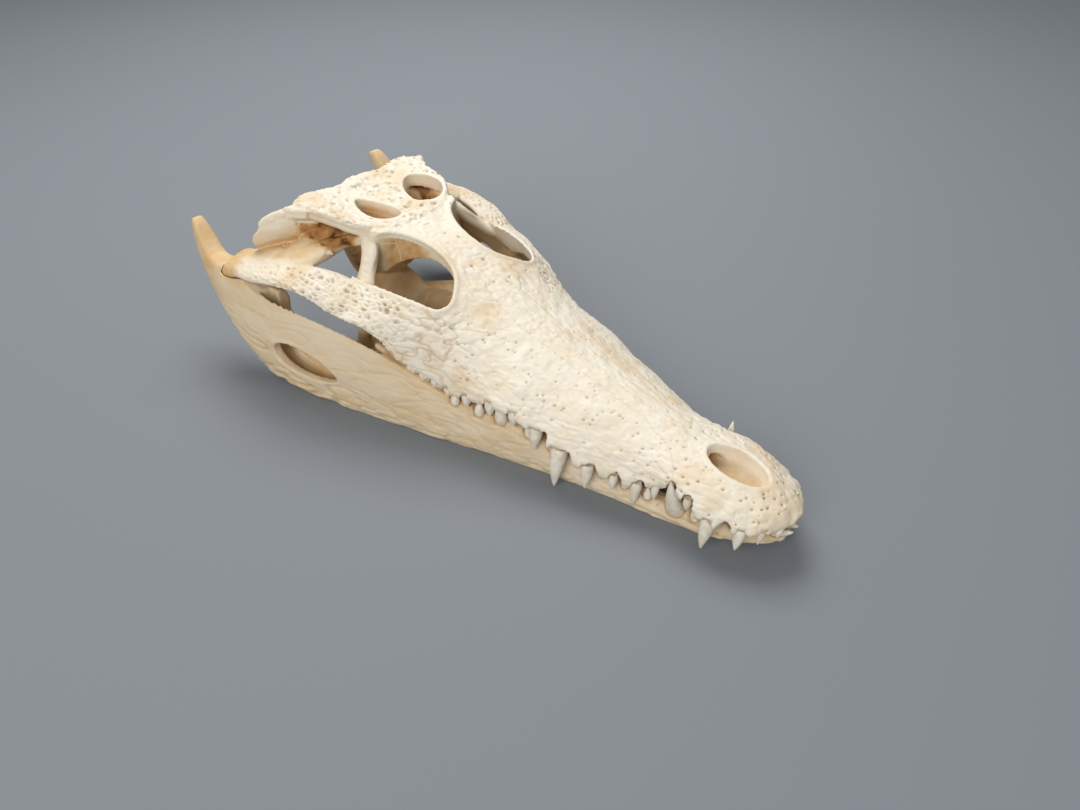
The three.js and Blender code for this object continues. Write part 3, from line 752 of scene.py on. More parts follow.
@dataclass
class ToothRow:
    """All teeth on one side of one jaw.

    Attributes:
        name: left or right.
        upper: Whether it is the upper row.
        rows: Station, length, radius, lean outwards and lean forwards in degrees.
        inset: How far a tooth stands inside the jaw's outer edge.
    """

    name: str
    upper: bool
    rows: Rows
    inset: float

    def teeth(self) -> list[Tooth]:
        """Where every tooth of the row stands."""
        side = SIDES[self.name]
        edge = Lines.UPPER_HALF_WIDTH if self.upper else Lines.JAW_OUTER
        line = Lines.GUM if self.upper else Lines.JAW_TOP
        up = -1 if self.upper else 1
        made = []
        for row in self.rows:
            station, length, radius, lean, forwards = (*row, 0, 0)[:5]
            out, ahead = math.radians(lean), math.radians(forwards)
            made.append(Tooth(
                np.array([station, side * (edge(station) - self.inset), line(station)]),
                np.array([
                    -math.cos(out) * math.sin(ahead), side * math.sin(out),
                    up * math.cos(out) * math.cos(ahead),
                ]),
                length, radius * TOOTH_FULLNESS,
            ))
        return made

    def pattern(self) -> Piece:
        """The tooth that all are copied from: unit length, unit radius, fluted at its foot."""
        rings = []
        for height, size in (
            (-0.3, 0.86), (-0.12, 0.98), (0, 1), (0.12, 0.97), (0.25, 0.9), (0.38, 0.8),
            (0.5, 0.69), (0.62, 0.56), (0.74, 0.42), (0.84, 0.295), (0.92, 0.18), (0.97, 0.1),
            (1, 0.03),
        ):
            angle = round_angles(TOOTH_POINTS)
            keel = 1 + 0.07 * np.cos(2 * angle) ** 3 * smoothstep(height, -0.1, 0.5)
            flute = 1 + 0.014 * np.cos(14 * angle) * (1 - smoothstep(height, 0.3, 0.85))
            radius = size * keel * flute
            rings.append(np.column_stack([
                radius * np.cos(angle), 0.93 * radius * np.sin(angle),
                np.full(len(angle), height),
            ]))
        return loft("tooth_pattern", np.array(rings))

    def build(self) -> Piece:
        """Copies the pattern to every place in the row and joins the copies."""
        pattern = self.pattern()
        shape = read_points(pattern)
        copies = []
        for tooth in self.teeth():
            copy = duplicate(pattern, "tooth")
            ahead = np.cross(tooth.direction, (0, 1, 0))
            ahead /= np.linalg.norm(ahead)
            across = np.cross(tooth.direction, ahead)
            across *= np.sign(tooth.root[1]) * np.sign(across[1])
            along, sideways, height = shape.T
            deep = np.minimum(height, 0) * TOOTH_FOOT + np.maximum(height, 0) * tooth.length
            belly = TOOTH_BEND * tooth.length * np.clip(height, 0, 1) * (1 - height)
            write_points(copy, tooth.root + (
                deep[:, None] * tooth.direction
                + (tooth.radius * along)[:, None] * ahead
                + (tooth.radius * sideways + belly)[:, None] * across
            ))
            copies.append(copy)
        bpy.data.objects.remove(pattern)
        choose(*copies)
        bpy.ops.object.join()
        row = bpy.context.object
        row.name = f"teeth.{'upper' if self.upper else 'lower'}_{self.name}"
        bpy.ops.object.mode_set(mode="EDIT")
        bpy.ops.mesh.select_all(action="SELECT")
        bpy.ops.mesh.normals_make_consistent(inside=False)
        bpy.ops.object.mode_set(mode="OBJECT")
        row.data.shade_smooth()
        return row


UPPER_TEETH = (
    (4, 5, 1.4, 10), (9.5, 6.5, 1.7, 12), (17, 10, 2.4, 12), (31, 15, 3, 14), (43, 5, 1.7, 6),
    (61.5, 9, 1.9, 6), (70.5, 12, 2.4, 6), (81.5, 7.5, 2, 6), (94.5, 13, 2.8, 8),
    (110, 21.5, 3.8, 10), (124, 11.5, 3, 8), (137, 7, 2.5, 6), (151, 7.5, 2.5, 4),
    (165, 6.5, 2.4, 4), (176, 5.5, 2.2, 2), (184, 4.5, 2, 2), (191, 4.5, 1.9, 2),
    (198.5, 4, 1.8, 2),
)
LOWER_TEETH = (
    (8, 10, 1.9, -8, 62), (23, 8, 1.7, 6, 50), (42, 5.5, 2, 4), (52, 23.5, 3.8, 19),
    (67, 5.5, 1.9), (79, 6, 1.9), (91, 6.5, 2), (104.5, 7, 2.1), (118.5, 8, 2.2, -2),
    (131, 8, 2.4, -2), (146.5, 11.5, 3, 2), (158.5, 5.5, 2.4, -4), (172, 3.8, 2.2, -4),
)
LONG_TOOTH = (52, 27, 3.8, 17)    # the left side's fourth lower one, which stands out more
TOOTH_ROWS = {
    ("left", True): ToothRow("left", True, UPPER_TEETH, 3.2),
    ("left", False): ToothRow(
        "left", False, (*LOWER_TEETH[:3], LONG_TOOTH, *LOWER_TEETH[4:]), 4.4),
    ("right", True): ToothRow("right", True, UPPER_TEETH, 3.2),
    ("right", False): ToothRow("right", False, LOWER_TEETH, 4.4),
}


# ---- the upper skull --------------------------------------------------------------------

ORBIT_RIM = np.array([            # station and distance from the mid plane
    (248, 30.5), (241, 20), (229, 13.5), (215, 12), (203, 15), (195, 22.5), (191.5, 30),
    (195, 37), (205, 41), (218, 44), (234, 46), (247, 47.5), (258, 46), (258, 35),
], float)
CHEEK_LINE = Profile((            # inside of this the cheek is smooth, outside it is pitted
    (180, 30), (192, 36), (205, 42), (218, 45.5), (234, 48), (247, 50), (262, 52.5),
    (272, 56), (284, 61.5), (300, 67), (314, 72),
))


GUM_RIM = 1.5                     # how far over the gum line the crown's curve ends


@dataclass
class Snout:
    """The upper skull's envelope, from the tip of the snout to behind the eyes.

    Attributes:
        end: The station where it ends.
        cheek_end: The station behind which the cheek is a bar.
        gum_edge: The width of the ridge that carries the teeth.
        palate_rise: The palate over the gum line.
        roof: The thickness of the roof over the eyes.
        cheek: The thickness of the cheek's wall.
        palate_window: The front end of the openings through the palate.
        palate_floor: The height up to which those openings are narrow.
        naris: Front, rear, half width and depth of the nose opening.
        passage: The nose's passage backwards from it.
    """

    end: float = 250.6
    cheek_end: float = 246.5
    gum_edge: float = 7
    palate_rise: float = 4.5
    roof: float = 4.5
    cheek: float = 6
    palate_window: float = 166
    palate_floor: float = 50
    naris: tuple[float, float, float, float] = (17.5, 49, 9.3, 9)
    passage: Rows = (
        (40, 0, 28.9, 6, 3.2), (50, 0, 29.2, 5.4, 3.2), (60, 0, 30, 3, 2),
    )

    def crown(self, station: float, steps: int = 15) -> Array:
        """One cross-section: the crown, then the gum ridge and the palate.

        Args:
            station: Where it stands.
            steps: How many points each half of the crown has.

        Returns:
            The ring's points.
        """
        brow, width = Lines.BROW_SHARE(station), Lines.UPPER_HALF_WIDTH(station)
        gum = Lines.GUM(station)
        rise = Lines.TOP(station) - gum - GUM_RIM
        power = 2 / Lines.CROWN_POWER(station)
        ridge = min(self.gum_edge, width * 0.4)
        angle = (math.pi / 2) * (np.arange(steps) + 0.5) / steps
        half = np.column_stack([
            width * (brow + (1 - brow) * np.sin(angle) ** power),
            gum + GUM_RIM + rise * np.cos(angle) ** power,
        ])
        notch = window(station, 30, 44, 56, 70)
        palate = gum + self.palate_rise * smoothstep(station, 2, 10) - 5 * notch
        edge = [(width - 1, gum), (width - ridge / 2 - 0.5, gum - 0.6 * (1 - notch)),
                (width - ridge, gum - 3 * notch), (width - ridge - 1.5, palate),
                ((width - ridge) * 0.4, palate + smoothstep(station, 2, 10))]
        half = np.vstack([half, edge])
        both = np.vstack([half, half[::-1] * (-1, 1)])
        return np.column_stack([np.full(len(both), station), both])

    def envelope(self) -> Piece:
        """The whole envelope, still solid."""
        places = [0, 0.9, 2.2, 4, 6.2, 8.8, 12, 15.2, *span(18.5, self.end, 3.4)]
        return loft("envelope", np.array([self.crown(place) for place in places]))

    def hollow(self) -> list[Piece]:
        """The room under the eyes: wide below the roof, narrower between the gum ridges."""
        rings = []
        for station in span(185.5, self.end + 4, 4):
            taper = 0.9 + 0.1 * smoothstep(station, 188, 208)
            width = (Lines.UPPER_HALF_WIDTH(station) - self.cheek) * taper
            rise = Lines.TOP(station) - self.roof - self.palate_floor
            power = 2 / Lines.CROWN_POWER(station)
            angle = np.linspace(0, math.pi, 25)
            side = np.sign(np.cos(angle)) * np.abs(np.cos(angle)) ** power
            rings.append(np.column_stack([
                np.full(25, station), width * side,
                self.palate_floor + rise * np.sin(angle) ** power,
            ]))
        upper = loft("hollow", np.array(rings))
        rings = []
        for station in span(self.palate_window, self.end + 4, 4):
            shelf = 13 - 6 * smoothstep(station, 195, 212)
            nose = smoothstep(station, self.palate_window - 9, 182)
            width = (Lines.UPPER_HALF_WIDTH(station) - shelf) * nose
            roof = self.palate_floor + 3 + 4 * smoothstep(station, 195, 225)
            rings.append([
                (station, width, 20), (station, width, roof),
                (station, -width, roof), (station, -width, 20),
            ])
        lower = loft("palate_room", np.array(rings))
        behind = [
            loft("behind_cheek", np.array([
                [(s, side * y, z) for y, z in ((33, 0), (200, 0), (200, 200), (33, 200))]
                for s in (self.cheek_end, self.end + 30)
            ]))
            for side in SIDES.values()
        ]
        return [upper, lower, *behind]

    def orbit_window(self, side: int) -> Piece:
        """The cutter that opens one eye socket from above."""
        rim = round_off(ORBIT_RIM, 5) * (1, side)
        return loft("orbit_window", stack_rings([rim, rim], [self.palate_floor + 8, 115]))

    def naris_rim(self, size: float = 1) -> Array:
        """The rim of the nose opening in plan, or a smaller or larger line about it."""
        front, rear, half_width, _ = self.naris
        return oval((front + rear) / 2, 0, (rear - front) / 2 * size, half_width * size, 0, 32)

    def naris_rings(self) -> Array:
        """The nose opening's bowl, from above its rim down to its floor."""
        outlines, heights = [], []
        for down, size in ((-0.7, 1.12), (-0.1, 1.02), (0.2, 0.97), (0.5, 0.9), (0.75, 0.78),
                           (0.92, 0.6), (1, 0.35)):
            outlines.append(self.naris_rim(size))
            heights.append(Lines.TOP(outlines[-1][:, 0]) - 1.4 - self.naris[3] * down)
        return stack_rings(outlines, heights)

    def build(self) -> Piece:
        """The envelope with its hollow, its eye sockets and its nose opening."""
        whole = self.envelope()
        for tool in self.hollow():
            combine(whole, tool, "DIFFERENCE")
        combine(whole, loft("naris", self.naris_rings()), "DIFFERENCE")
        combine(whole, strut("passage", self.passage, 1, Plane.ACROSS), "DIFFERENCE")
        return whole


@dataclass
class RearSkull:
    """The plates and bars behind the eyes, and the box around the brain.

    A row is station, side, height, half width, half thickness and roll of an oval.
    """

    deck_outline: Sequence[tuple[float, float]] = (
        (243, 0), (245.5, 18), (252, 29.5), (263, 37), (287, 42.5), (300, 44), (304, 34),
        (300, 18), (303, 0),
    )
    deck_thickness: float = 7
    window_station: float = 267
    window_half_length: float = 15
    window_turn: float = 0.22
    window_depth: float = 18
    window_across: dict[str, tuple[float, float, float]] = field(
        default_factory=lambda: {"left": (22.5, 10.4, 0.1), "right": (12, 8.2, 0.34)})
    eye_bar: Rows = (
        (255, 28.5, 88.5, 5.5, 4.5), (251.2, 30.4, 85.4, 5.8, 4.8), (247.5, 34, 81, 5.3, 4.6),
        (245, 38, 76, 5.3, 4.6), (241.8, 43.6, 70.4, 6.4, 4.8), (239, 49, 65.5, 10, 6),
    )
    cheek_bar: Rows = (
        (233, 55, 64, 8, 2, -24), (243, 57.5, 66.2, 12, 3.4, -20.5),
        (256, 60.8, 69.8, 11.4, 3.3, -19), (270, 64, 70.2, 10.3, 3.3, -18),
        (284, 67.5, 68.8, 9.5, 3.5, -17), (302, 72, 65.8, 8.2, 3.6, -20),
        (318, 74, 63, 5.6, 3.4, -20),
    )
    hinge_strap: Rows = (
        (252, 28.5, 85.5, 4, 3.5, -25), (262, 30, 82.5, 4.5, 3.5, -24),
        (268, 32, 81, 5.5, 3.6, -22), (272, 43.5, 78, 13, 3.8, -20),
        (284, 53, 73.8, 17, 4.3, -17), (298, 61, 69.8, 17, 5, -16), (311, 66, 66, 14, 5.5, -16),
        (322, 68.5, 62.5, 12.2, 6, -17), (330, 68, 60.5, 12, 5.2, -17),
        (334, 67.5, 59.5, 10.5, 3, -17),
    )
    hinge_body: Rows = (
        (281, 10, 77, 12, 13), (284, 28, 79, 9, 9), (288, 44, 76.5, 8, 6),
        (292, 58, 71.5, 8, 4.5),
    )
    cheek_spine: Rows = (
        (279, 47, 76, 5, 2.6, -20), (273.5, 45, 77.6, 2.6, 1.8, -20),
        (269, 44.6, 78.4, 1.5, 1.1, -20), (265.5, 45.2, 78.6, 0.5, 0.4, -20),
    )
    ear_wing: Rows = (
        (297, 4, 81, 7, 15), (298, 22, 84, 6, 11.5), (302, 38, 85.5, 5, 9),
        (305.5, 49.5, 85, 4.5, 6.5), (310, 56.5, 83, 4, 5.5),
    )
    deck_corner: Rows = (
        (287, 38, 94, 7, 3.8), (297, 44.5, 93, 6, 4.4), (304, 51, 90, 5.2, 4.6),
        (309, 55.8, 87.4, 4.6, 4.2), (311.5, 57.6, 86.2, 2.8, 2.6),
    )
    ear_wall: Rows = (
        (286, 35.5, 84, 6, 2.6, 68), (293, 41, 82.3, 8, 2.8, 65), (301, 48, 80.2, 8.6, 3, 61),
        (306, 52.6, 78.6, 9.2, 3, 58), (310.5, 57.2, 76.4, 9, 3, 56),
        (313.6, 59.6, 75.2, 7.4, 2.6, 54), (315.6, 61, 74.2, 4.6, 2, 54),
    )
    ear_lobe: Rows = (
        (295, 44.5, 87, 4.5, 3, 60), (299, 48.5, 85.8, 6, 4, 60), (305, 52.6, 83.8, 6.6, 4.6, 60),
        (310, 56.6, 81.4, 6.2, 4.2, 60), (313, 58.6, 79.8, 4, 3, 60),
    )
    brain_box: Rows = (
        (240, 6, 79), (250, 10, 68), (262, 14.5, 56), (278, 19, 45), (292, 20, 39),
        (300, 17, 40),
    )
    condyle: tuple[float, float, float] = (302.5, 70, 6.4)
    canal: tuple[float, float, float] = (80.5, 4.8, 9)

    def deck(self) -> Piece:
        """The flat deck over the rear of the skull."""
        right = np.array(self.deck_outline) * (1, -1)
        left = np.array(self.deck_outline)[-2:0:-1]
        outline = round_off(np.vstack([right, left]), 5)
        outlines = [(outline - (272, 0)) * size + (272, 0) for size in
                    (0.955, 0.98, 0.99, 0.985, 0.96)]
        drops = (-0.4, 0.5, 2.6, 5.4, self.deck_thickness)
        heights = [Lines.TOP(each[:, 0]) - drop for each, drop in zip(outlines, drops)]
        return loft("deck", stack_rings(outlines, heights))

    def window_outline(self, name: str, size: float = 1, count: int = 28) -> Array:
        """The rim of one hole through the deck, in plan."""
        across, half_width, pinch = self.window_across[name]
        rim = oval(self.window_station, across, self.window_half_length * size,
                   half_width * size, self.window_turn, count)
        behind = (rim[:, 0] - self.window_station) / self.window_half_length
        rim[:, 1] = across + (rim[:, 1] - across) * (1 - pinch * behind)
        return rim * (1, SIDES[name])

    def window_cutter(self, name: str) -> Piece:
        """The cutter for one hole through the deck, which narrows as it goes down."""
        top = Lines.TOP(self.window_station)
        rows = ((-6, 1.1), (-1, 1.02), (4, 0.96), (self.window_depth * 0.6, 0.88),
                (self.window_depth * 0.85, 0.75), (self.window_depth, 0.5))
        return loft("deck_window", stack_rings(
            [self.window_outline(name, size) for _, size in rows],
            [top - down for down, _ in rows]))

    def brain(self) -> list[Piece]:
        """The box around the brain, the wings beside it and the ball it turns on."""
        rings = []
        for station, half, low in ease_rows(self.brain_box, 3):
            high = Lines.TOP(station) - 4
            waist = low + 0.45 * (high - low)
            corners = np.array([
                (half * 0.45, low), (half, waist), (half * 1.1, high),
                (-half * 1.1, high), (-half, waist), (-half * 0.45, low),
            ])
            ring = round_off(corners, 4)
            ring[:, 1] = np.minimum(ring[:, 1], high)
            rings.append(np.column_stack([np.full(len(ring), station), ring]))
        parts = [loft("brain_box", np.array(rings))]
        parts += [strut("ear_wing", self.ear_wing, side, Plane.ALONG) for side in SIDES.values()]
        station, height, radius = self.condyle
        bpy.ops.object.select_all(action="DESELECT")
        bpy.ops.mesh.primitive_uv_sphere_add(
            segments=32, ring_count=20, radius=radius * MM, location=(0, 0, 0))
        ball = bpy.context.object
        write_points(ball, (read_points(ball) - (NOSE, 0, 0)) * (0.85, 1.15, 0.9)
                     + (station, 0, height))
        return [*parts, ball]

    def build(self) -> list[Piece]:
        """All plates and bars of the rear."""
        parts = [*self.brain(), self.deck()]
        for side in SIDES.values():
            parts += [
                strut("deck_corner", self.deck_corner, side, Plane.ACROSS),
                strut("eye_bar", self.eye_bar, side, Plane.LEVEL),
                strut("cheek_bar", self.cheek_bar, side, Plane.ACROSS),
                strut("hinge_strap", self.hinge_strap, side, Plane.ACROSS),
                strut("hinge_body", self.hinge_body, side, Plane.ALONG),
                strut("ear_wall", self.ear_wall, side, Plane.ACROSS),
                strut("ear_lobe", self.ear_lobe, side, Plane.ACROSS),
                strut("cheek_spine", self.cheek_spine, side, Plane.ACROSS),
            ]
        return parts

    def cutters(self) -> list[Piece]:
        """The holes through the deck and the canal for the spinal cord."""
        height, radius, depth = self.canal
        canal = strut("canal", (
            (305 - depth, 0, height, radius * 0.8, radius * 0.8), (300, 0, height, radius, radius),
            (310, 0, height, radius * 1.1, radius * 1.1),
        ), 1, Plane.ACROSS)
        return [self.window_cutter(name) for name in SIDES] + [canal]


@dataclass
class Palate:
    """The bar and wings of the palate."""

    bar: Rows = (
        (160, 7, 33, 41), (176, 8.5, 35.5, 46), (198, 8.5, 37, 49), (220, 8, 37.5, 49),
        (234, 9, 36, 47), (250, 10, 33.5, 43.5), (266, 13, 34, 46), (288, 13, 40, 55),
    )
    wing: Rows = (
        (256, 4, 38.5, 18, 3.5), (253, 18, 34, 14.3, 2.6), (249.5, 34, 30, 11, 2.4),
        (248, 45, 27, 9.5, 2.6), (248, 51, 24.5, 6.5, 2.4),
    )
    arm: Rows = (
        (247, 46, 29, 6.5, 3.4), (243, 48.5, 38, 5, 3.4), (236, 51, 47, 5.5, 3.8),
        (226, 54.5, 57, 8, 4.6),
    )
    foot: Rows = (
        (232, 52, 51.5, 4, 4.4), (214, 49, 50.5, 4, 4), (198, 46, 45.5, 3, 3.2),
    )

    def build(self) -> list[Piece]:
        """The bar along the middle and the wings and arms to both sides."""
        rings = []
        for station, half, low, high in ease_rows(self.bar, 4):
            waist = (low + high) / 2
            ring = round_off(np.array([
                (half, low), (half * 0.95, waist), (half * 0.45, high),
                (-half * 0.45, high), (-half * 0.95, waist), (-half, low),
            ]), 4)
            rings.append(np.column_stack([np.full(len(ring), station), ring]))
        parts = [loft("palate_bar", np.array(rings))]
        for side in SIDES.values():
            parts += [
                strut("palate_wing", self.wing, side, Plane.ALONG),
                strut("palate_arm", self.arm, side, Plane.LEVEL),
                strut("palate_foot", self.foot, side, Plane.ACROSS),
            ]
        return parts


@dataclass(frozen=True)
class Zone:
    """The room that one bone takes of the whole skull, a run of frames.

    Attributes:
        frames: Station, nearest side, farthest side, lowest and highest.
    """

    frames: Sequence[tuple[float, float, float, float, float]]

    def cutter(self, side: int) -> Piece:
        """The zone as a body whose walls wander as sutures do.

        Args:
            side: 1 on the left, -1 on the right.

        Returns:
            The cutter.
        """
        body = loft("zone", np.array([
            [(station, side * y, z) for y, z in (
                (near, low), (far, low), (far, high), (near, high))]
            for station, near, far, low, high in self.frames
        ]))
        choose(body)
        bpy.ops.object.mode_set(mode="EDIT")
        bpy.ops.mesh.select_all(action="SELECT")
        bpy.ops.mesh.quads_convert_to_tris()
        for _ in range(3):
            bpy.ops.mesh.subdivide(number_cuts=2)
        bpy.ops.object.mode_set(mode="OBJECT")
        points = read_points(body)
        for axis in range(3):
            points[:, axis] += (1.1 * lumps(points, 7, 60 + axis)
                                + 0.5 * lumps(points, 2.6, 70 + axis))
        write_points(body, points)
        return body


MIDDLE_BONES: dict[str, tuple[Zone, ...]] = {
    "premaxilla": (Zone(((-9, -60, 60, 0, 90), (53, -60, 60, 0, 90))),),
    "skull_table": (Zone(((241, -60, 60, 83.5, 120), (320, -60, 60, 91.5, 120))),),
    "frontal": (Zone(((187, -24, 24, 58, 120), (241, -24, 24, 58, 120))),),
    "palatine": (Zone(((187, -22, 22, 0, 55), (238, -22, 22, 0, 55))),),
    "braincase": (
        Zone(((230, -19, 19, 51, 120), (330, -19, 19, 51, 120))),
        Zone(((293.8, -60, 60, 84.5, 120), (297.4, -60, 60, 76, 120), (330, -70, 70, 76, 120))),
    ),
    "pterygoid": (Zone(((238, -46, 46, 0, 60), (330, -46, 46, 0, 60))),),
}
PAIRED_BONES: dict[str, tuple[Zone, ...]] = {
    "quadrate": (
        Zone(((251.5, 19, 36, 74, 120), (276, 19, 48, 70, 120))),
        Zone(((270, 15, 100, 0, 120), (340, 15, 100, 0, 120))),
    ),
    "ectopterygoid": (Zone(((205, 40, 52.3, 0, 55), (262, 40, 66.3, 0, 62))),),
    "maxilla": (
        Zone(((53, 0, 90, 0, 120), (187, 0, 90, 0, 120))),
        Zone(((180, 30, 90, 0, 44), (209, 34, 90, 0, 57))),
    ),
}
LEFT_HALF = Zone(((0, -0.2, 200, -50, 200), (400, -0.2, 200, -50, 200)))
SNOUT_SUTURES = (                 # a line in plan, and the suture's depth and width
    (((56, 0.1), (180, 0.1)), 0.22, 0.45),
    (((50, 28), (56, 19), (64, 12), (82, 7), (120, 8), (160, 10.5), (178, 9), (196, 3)), 0.3, 0.5),
    (((178, 9), (186, 17), (200, 14)), 0.25, 0.45),
    (((180, 33), (168, 24), (158, 20)), 0.22, 0.45),
    (((192, 37), (184, 42), (172, 43), (160, 41)), 0.25, 0.5),
)


@dataclass(frozen=True)
class Masks:
    """What each point of the upper skull's surface belongs to.

    Attributes:
        top: The height of the skull's top line over it.
        depth: How deep it lies under the snout's crown.
        before: 1 before the deck.
        shell: 1 on the snout's crown.
        deck: 1 on top of the deck.
        outer: 1 on every outer surface.
        calm: 1 away from the rims of the openings.
        bone: 1 on outer surfaces away from the rims.
        beyond: How far it lies outside the smooth part of the cheek.
        to_orbit: Its distance from the rim of the eye socket.
        to_window: Its distance from the holes through the deck.
        to_naris: Its distance from the rim of the nose opening.
    """

    top: Array
    depth: Array
    before: Array
    shell: Array
    deck: Array
    outer: Array
    calm: Array
    bone: Array
    beyond: Array
    to_orbit: Array
    to_window: Array
    to_naris: Array


@dataclass
class Cranium:
    """The upper skull, carved in one piece and then parted into its bones.

    Attributes:
        snout: Its front, back to the eyes.
        rear: The plates and bars behind the eyes.
        palate: The bones between the lower jaw's halves.
        voxel: The size of its skin's faces.
        smoothing: How often its skin is smoothed.
        tooth_clearance: The room left round the lower teeth.
        notched_from: The station behind which the lower teeth have notches.
        arches: The stations between which small lower teeth show through arches.
        small_tooth: The length under which a tooth is small.
    """

    snout: Snout = field(default_factory=Snout)
    rear: RearSkull = field(default_factory=RearSkull)
    palate: Palate = field(default_factory=Palate)
    voxel: float = 0.6
    smoothing: int = 6
    tooth_clearance: float = 1.3
    notched_from: float = 30
    arches: tuple[float, float] = (12, 126)
    small_tooth: float = 20

    def shell_depth(self, carving: Carving) -> Array:
        """How deep each point lies under the snout's crown, in millimetres."""
        s, a, z = carving.station, carving.out, carving.height
        width, gum, brow = Lines.UPPER_HALF_WIDTH(s), Lines.GUM(s), Lines.BROW_SHARE(s)
        rise = Lines.TOP(s) - gum - GUM_RIM
        power = Lines.CROWN_POWER(s)
        across = np.clip(a / width - brow, 0, None) / (1 - brow)
        up = np.clip(z - gum - GUM_RIM, 0, None) / rise
        return (1 - (across ** power + up ** power) ** (1 / power)) * np.minimum(width, rise)

    def build(self) -> Piece:
        """Joins, cuts and softens the whole upper skull."""
        whole = self.snout.build()
        whole = unite("cranium", [whole, *self.palate.build(), *self.rear.build()])
        for side in SIDES.values():
            # two bars cross the socket's outer and rear edge, so they are joined once more
            combine(whole, self.snout.orbit_window(side), "DIFFERENCE")
            combine(whole, strut("eye_bar", self.rear.eye_bar, side, Plane.LEVEL), "UNION")
            combine(whole, strut("cheek_bar", self.rear.cheek_bar, side, Plane.ACROSS), "UNION")
        for cutter in (*self.rear.cutters(), self.brow_trim()):
            combine(whole, cutter, "DIFFERENCE")
        for name in SIDES:
            for tooth in TOOTH_ROWS[name, False].teeth():
                if tooth.root[0] > self.notched_from:
                    combine(whole, self.notch(tooth), "DIFFERENCE")
                if (self.arches[0] < tooth.root[0] < self.arches[1]
                        and tooth.length < self.small_tooth):
                    combine(whole, self.gum_gap(tooth), "DIFFERENCE")
        soften(whole, self.voxel, self.smoothing)
        return whole

    def notch(self, tooth: Tooth) -> Piece:
        """The room in the upper jaw that a tooth of the lower jaw stands in."""
        ahead = np.cross(tooth.direction, (0, 1, 0))
        across = np.cross(tooth.direction, ahead)
        angle = round_angles(20)
        circle = np.cos(angle)[:, None] * ahead + np.sin(angle)[:, None] * across
        rings = [
            tooth.root + tooth.direction * (tooth.length + self.tooth_clearance) * along
            + circle * (tooth.radius + self.tooth_clearance) * size
            for along, size in ((-0.2, 1.15), (0.1, 1.1), (0.5, 0.85), (0.8, 0.5), (1, 0.2))
        ]
        return loft("notch", np.array(rings))

    def brow_trim(self) -> Piece:
        """The cutter that levels the brows off where they run into the deck."""
        rings = [
            [(station, side, Lines.TOP(station) + rise) for side, rise in
             ((-60, low), (60, low), (60, 30), (-60, 30))]
            for station, low in ((228, 8), (236, 3), (243, 0.6), (258, 0.6))
        ]
        return loft("brow_trim", np.array(rings, float))

    def gum_gap(self, tooth: Tooth) -> Piece:
        """The arch in the upper gum through which a tooth of the lower jaw shows."""
        station, side, _ = tooth.root
        angle = round_angles(20)
        rings = [
            np.column_stack([
                station + 3.3 * size * np.cos(angle),
                np.full(len(angle), side + np.sign(side) * reach),
                Lines.GUM(station) + 0.6 + 4.9 * size * np.sin(angle),
            ])
            for reach, size in ((-4, 0.8), (-1, 1), (4, 1.05), (16, 1.2))
        ]
        return loft("gum_gap", np.array(rings))

    def masks(self, c: Carving) -> Masks:
        """Works out what each point of the surface belongs to, before it is moved."""
        s, a, z, p = c.station, c.out, c.height, c.points
        up, top, depth = c.facing[:, 2], Lines.TOP(s), self.shell_depth(c)
        before = 1 - smoothstep(s, 244, 250)
        shell = (1 - smoothstep(depth, 1.6, 3)) * before
        deck = smoothstep(s, 240, 248) * smoothstep(z - top, -3.5, -1.5) * smoothstep(up, 0.2, 0.6)
        face = smoothstep(up * 0.6 + c.outward * 0.8, 0.35, 0.7)
        rear_face = smoothstep(s, 246, 252) * face * smoothstep(a, 42, 46)
        outer = np.clip(shell * smoothstep(up + c.outward, -0.2, 0.2) + deck + rear_face, 0, 1)
        # the socket's rim, without the two corners behind the eye bar
        rim = round_off(ORBIT_RIM[:-2], 4)[:-8]
        to_orbit = gap_to(rim, np.column_stack([s, a]))
        to_window = np.minimum(*(gap_to(self.rear.window_outline(name), p) for name in SIDES))
        to_naris = gap_to(self.snout.naris_rim(), p)
        calm = (smoothstep(to_orbit, 1.5, 5) * smoothstep(to_window, 0.8, 3)
                * smoothstep(to_naris, 1, 4))
        return Masks(top, depth, before, shell, deck, outer, calm, outer * calm,
                     a - CHEEK_LINE(s), to_orbit, to_window, to_naris)

    def carve(self, whole: Piece) -> None:
        """Gives the surface its lumps, wrinkles, pits and rims, its staining and its painted
        shade.
        """
        c = Carving(whole)
        masks = self.masks(c)
        # the deck is dished between its two edges
        c.points[:, 2] -= (2.2 * (1 - smoothstep(c.out, 5, 32))
                           * window(c.station, 246, 262, 286, 298)
                           * smoothstep(c.height - masks.top, -9, -2))
        for step in (self.roughen, self.carve_ear, self.carve_joints, self.stain_and_shade):
            step(c, masks)
        c.apply()

    def roughen(self, c: Carving, masks: Masks) -> None:
        """Gives the outer surfaces their rims, lumps, wrinkles, pits and small holes, with painted
        shade in the hollows.
        """
        s, z, p, up = c.station, c.height, c.points, c.facing[:, 2]
        before, shell, deck, outer = masks.before, masks.shell, masks.deck, masks.outer
        calm, bone, beyond = masks.calm, masks.bone, masks.beyond
        to_orbit, to_window, to_naris = masks.to_orbit, masks.to_window, masks.to_naris

        # broad unevenness of weathered bone, and the raised rims of the openings
        c.lumps(bone, 0.42, (17, 11, 11), 3)
        c.lumps(bone, 0.24, 5.5, 5, 2)
        c.lumps(1 - outer, 0.25, 9, 6, 2)
        c.raised += shell * 0.8 * np.exp(-((to_orbit - 0.8) / 1.7) ** 2) * smoothstep(up, 0, 0.4)
        c.raised += deck * 0.35 * np.exp(-((to_window - 0.8) / 1.2) ** 2)
        c.raised += shell * 0.3 * np.exp(-((to_naris - 1.2) / 1.6) ** 2)

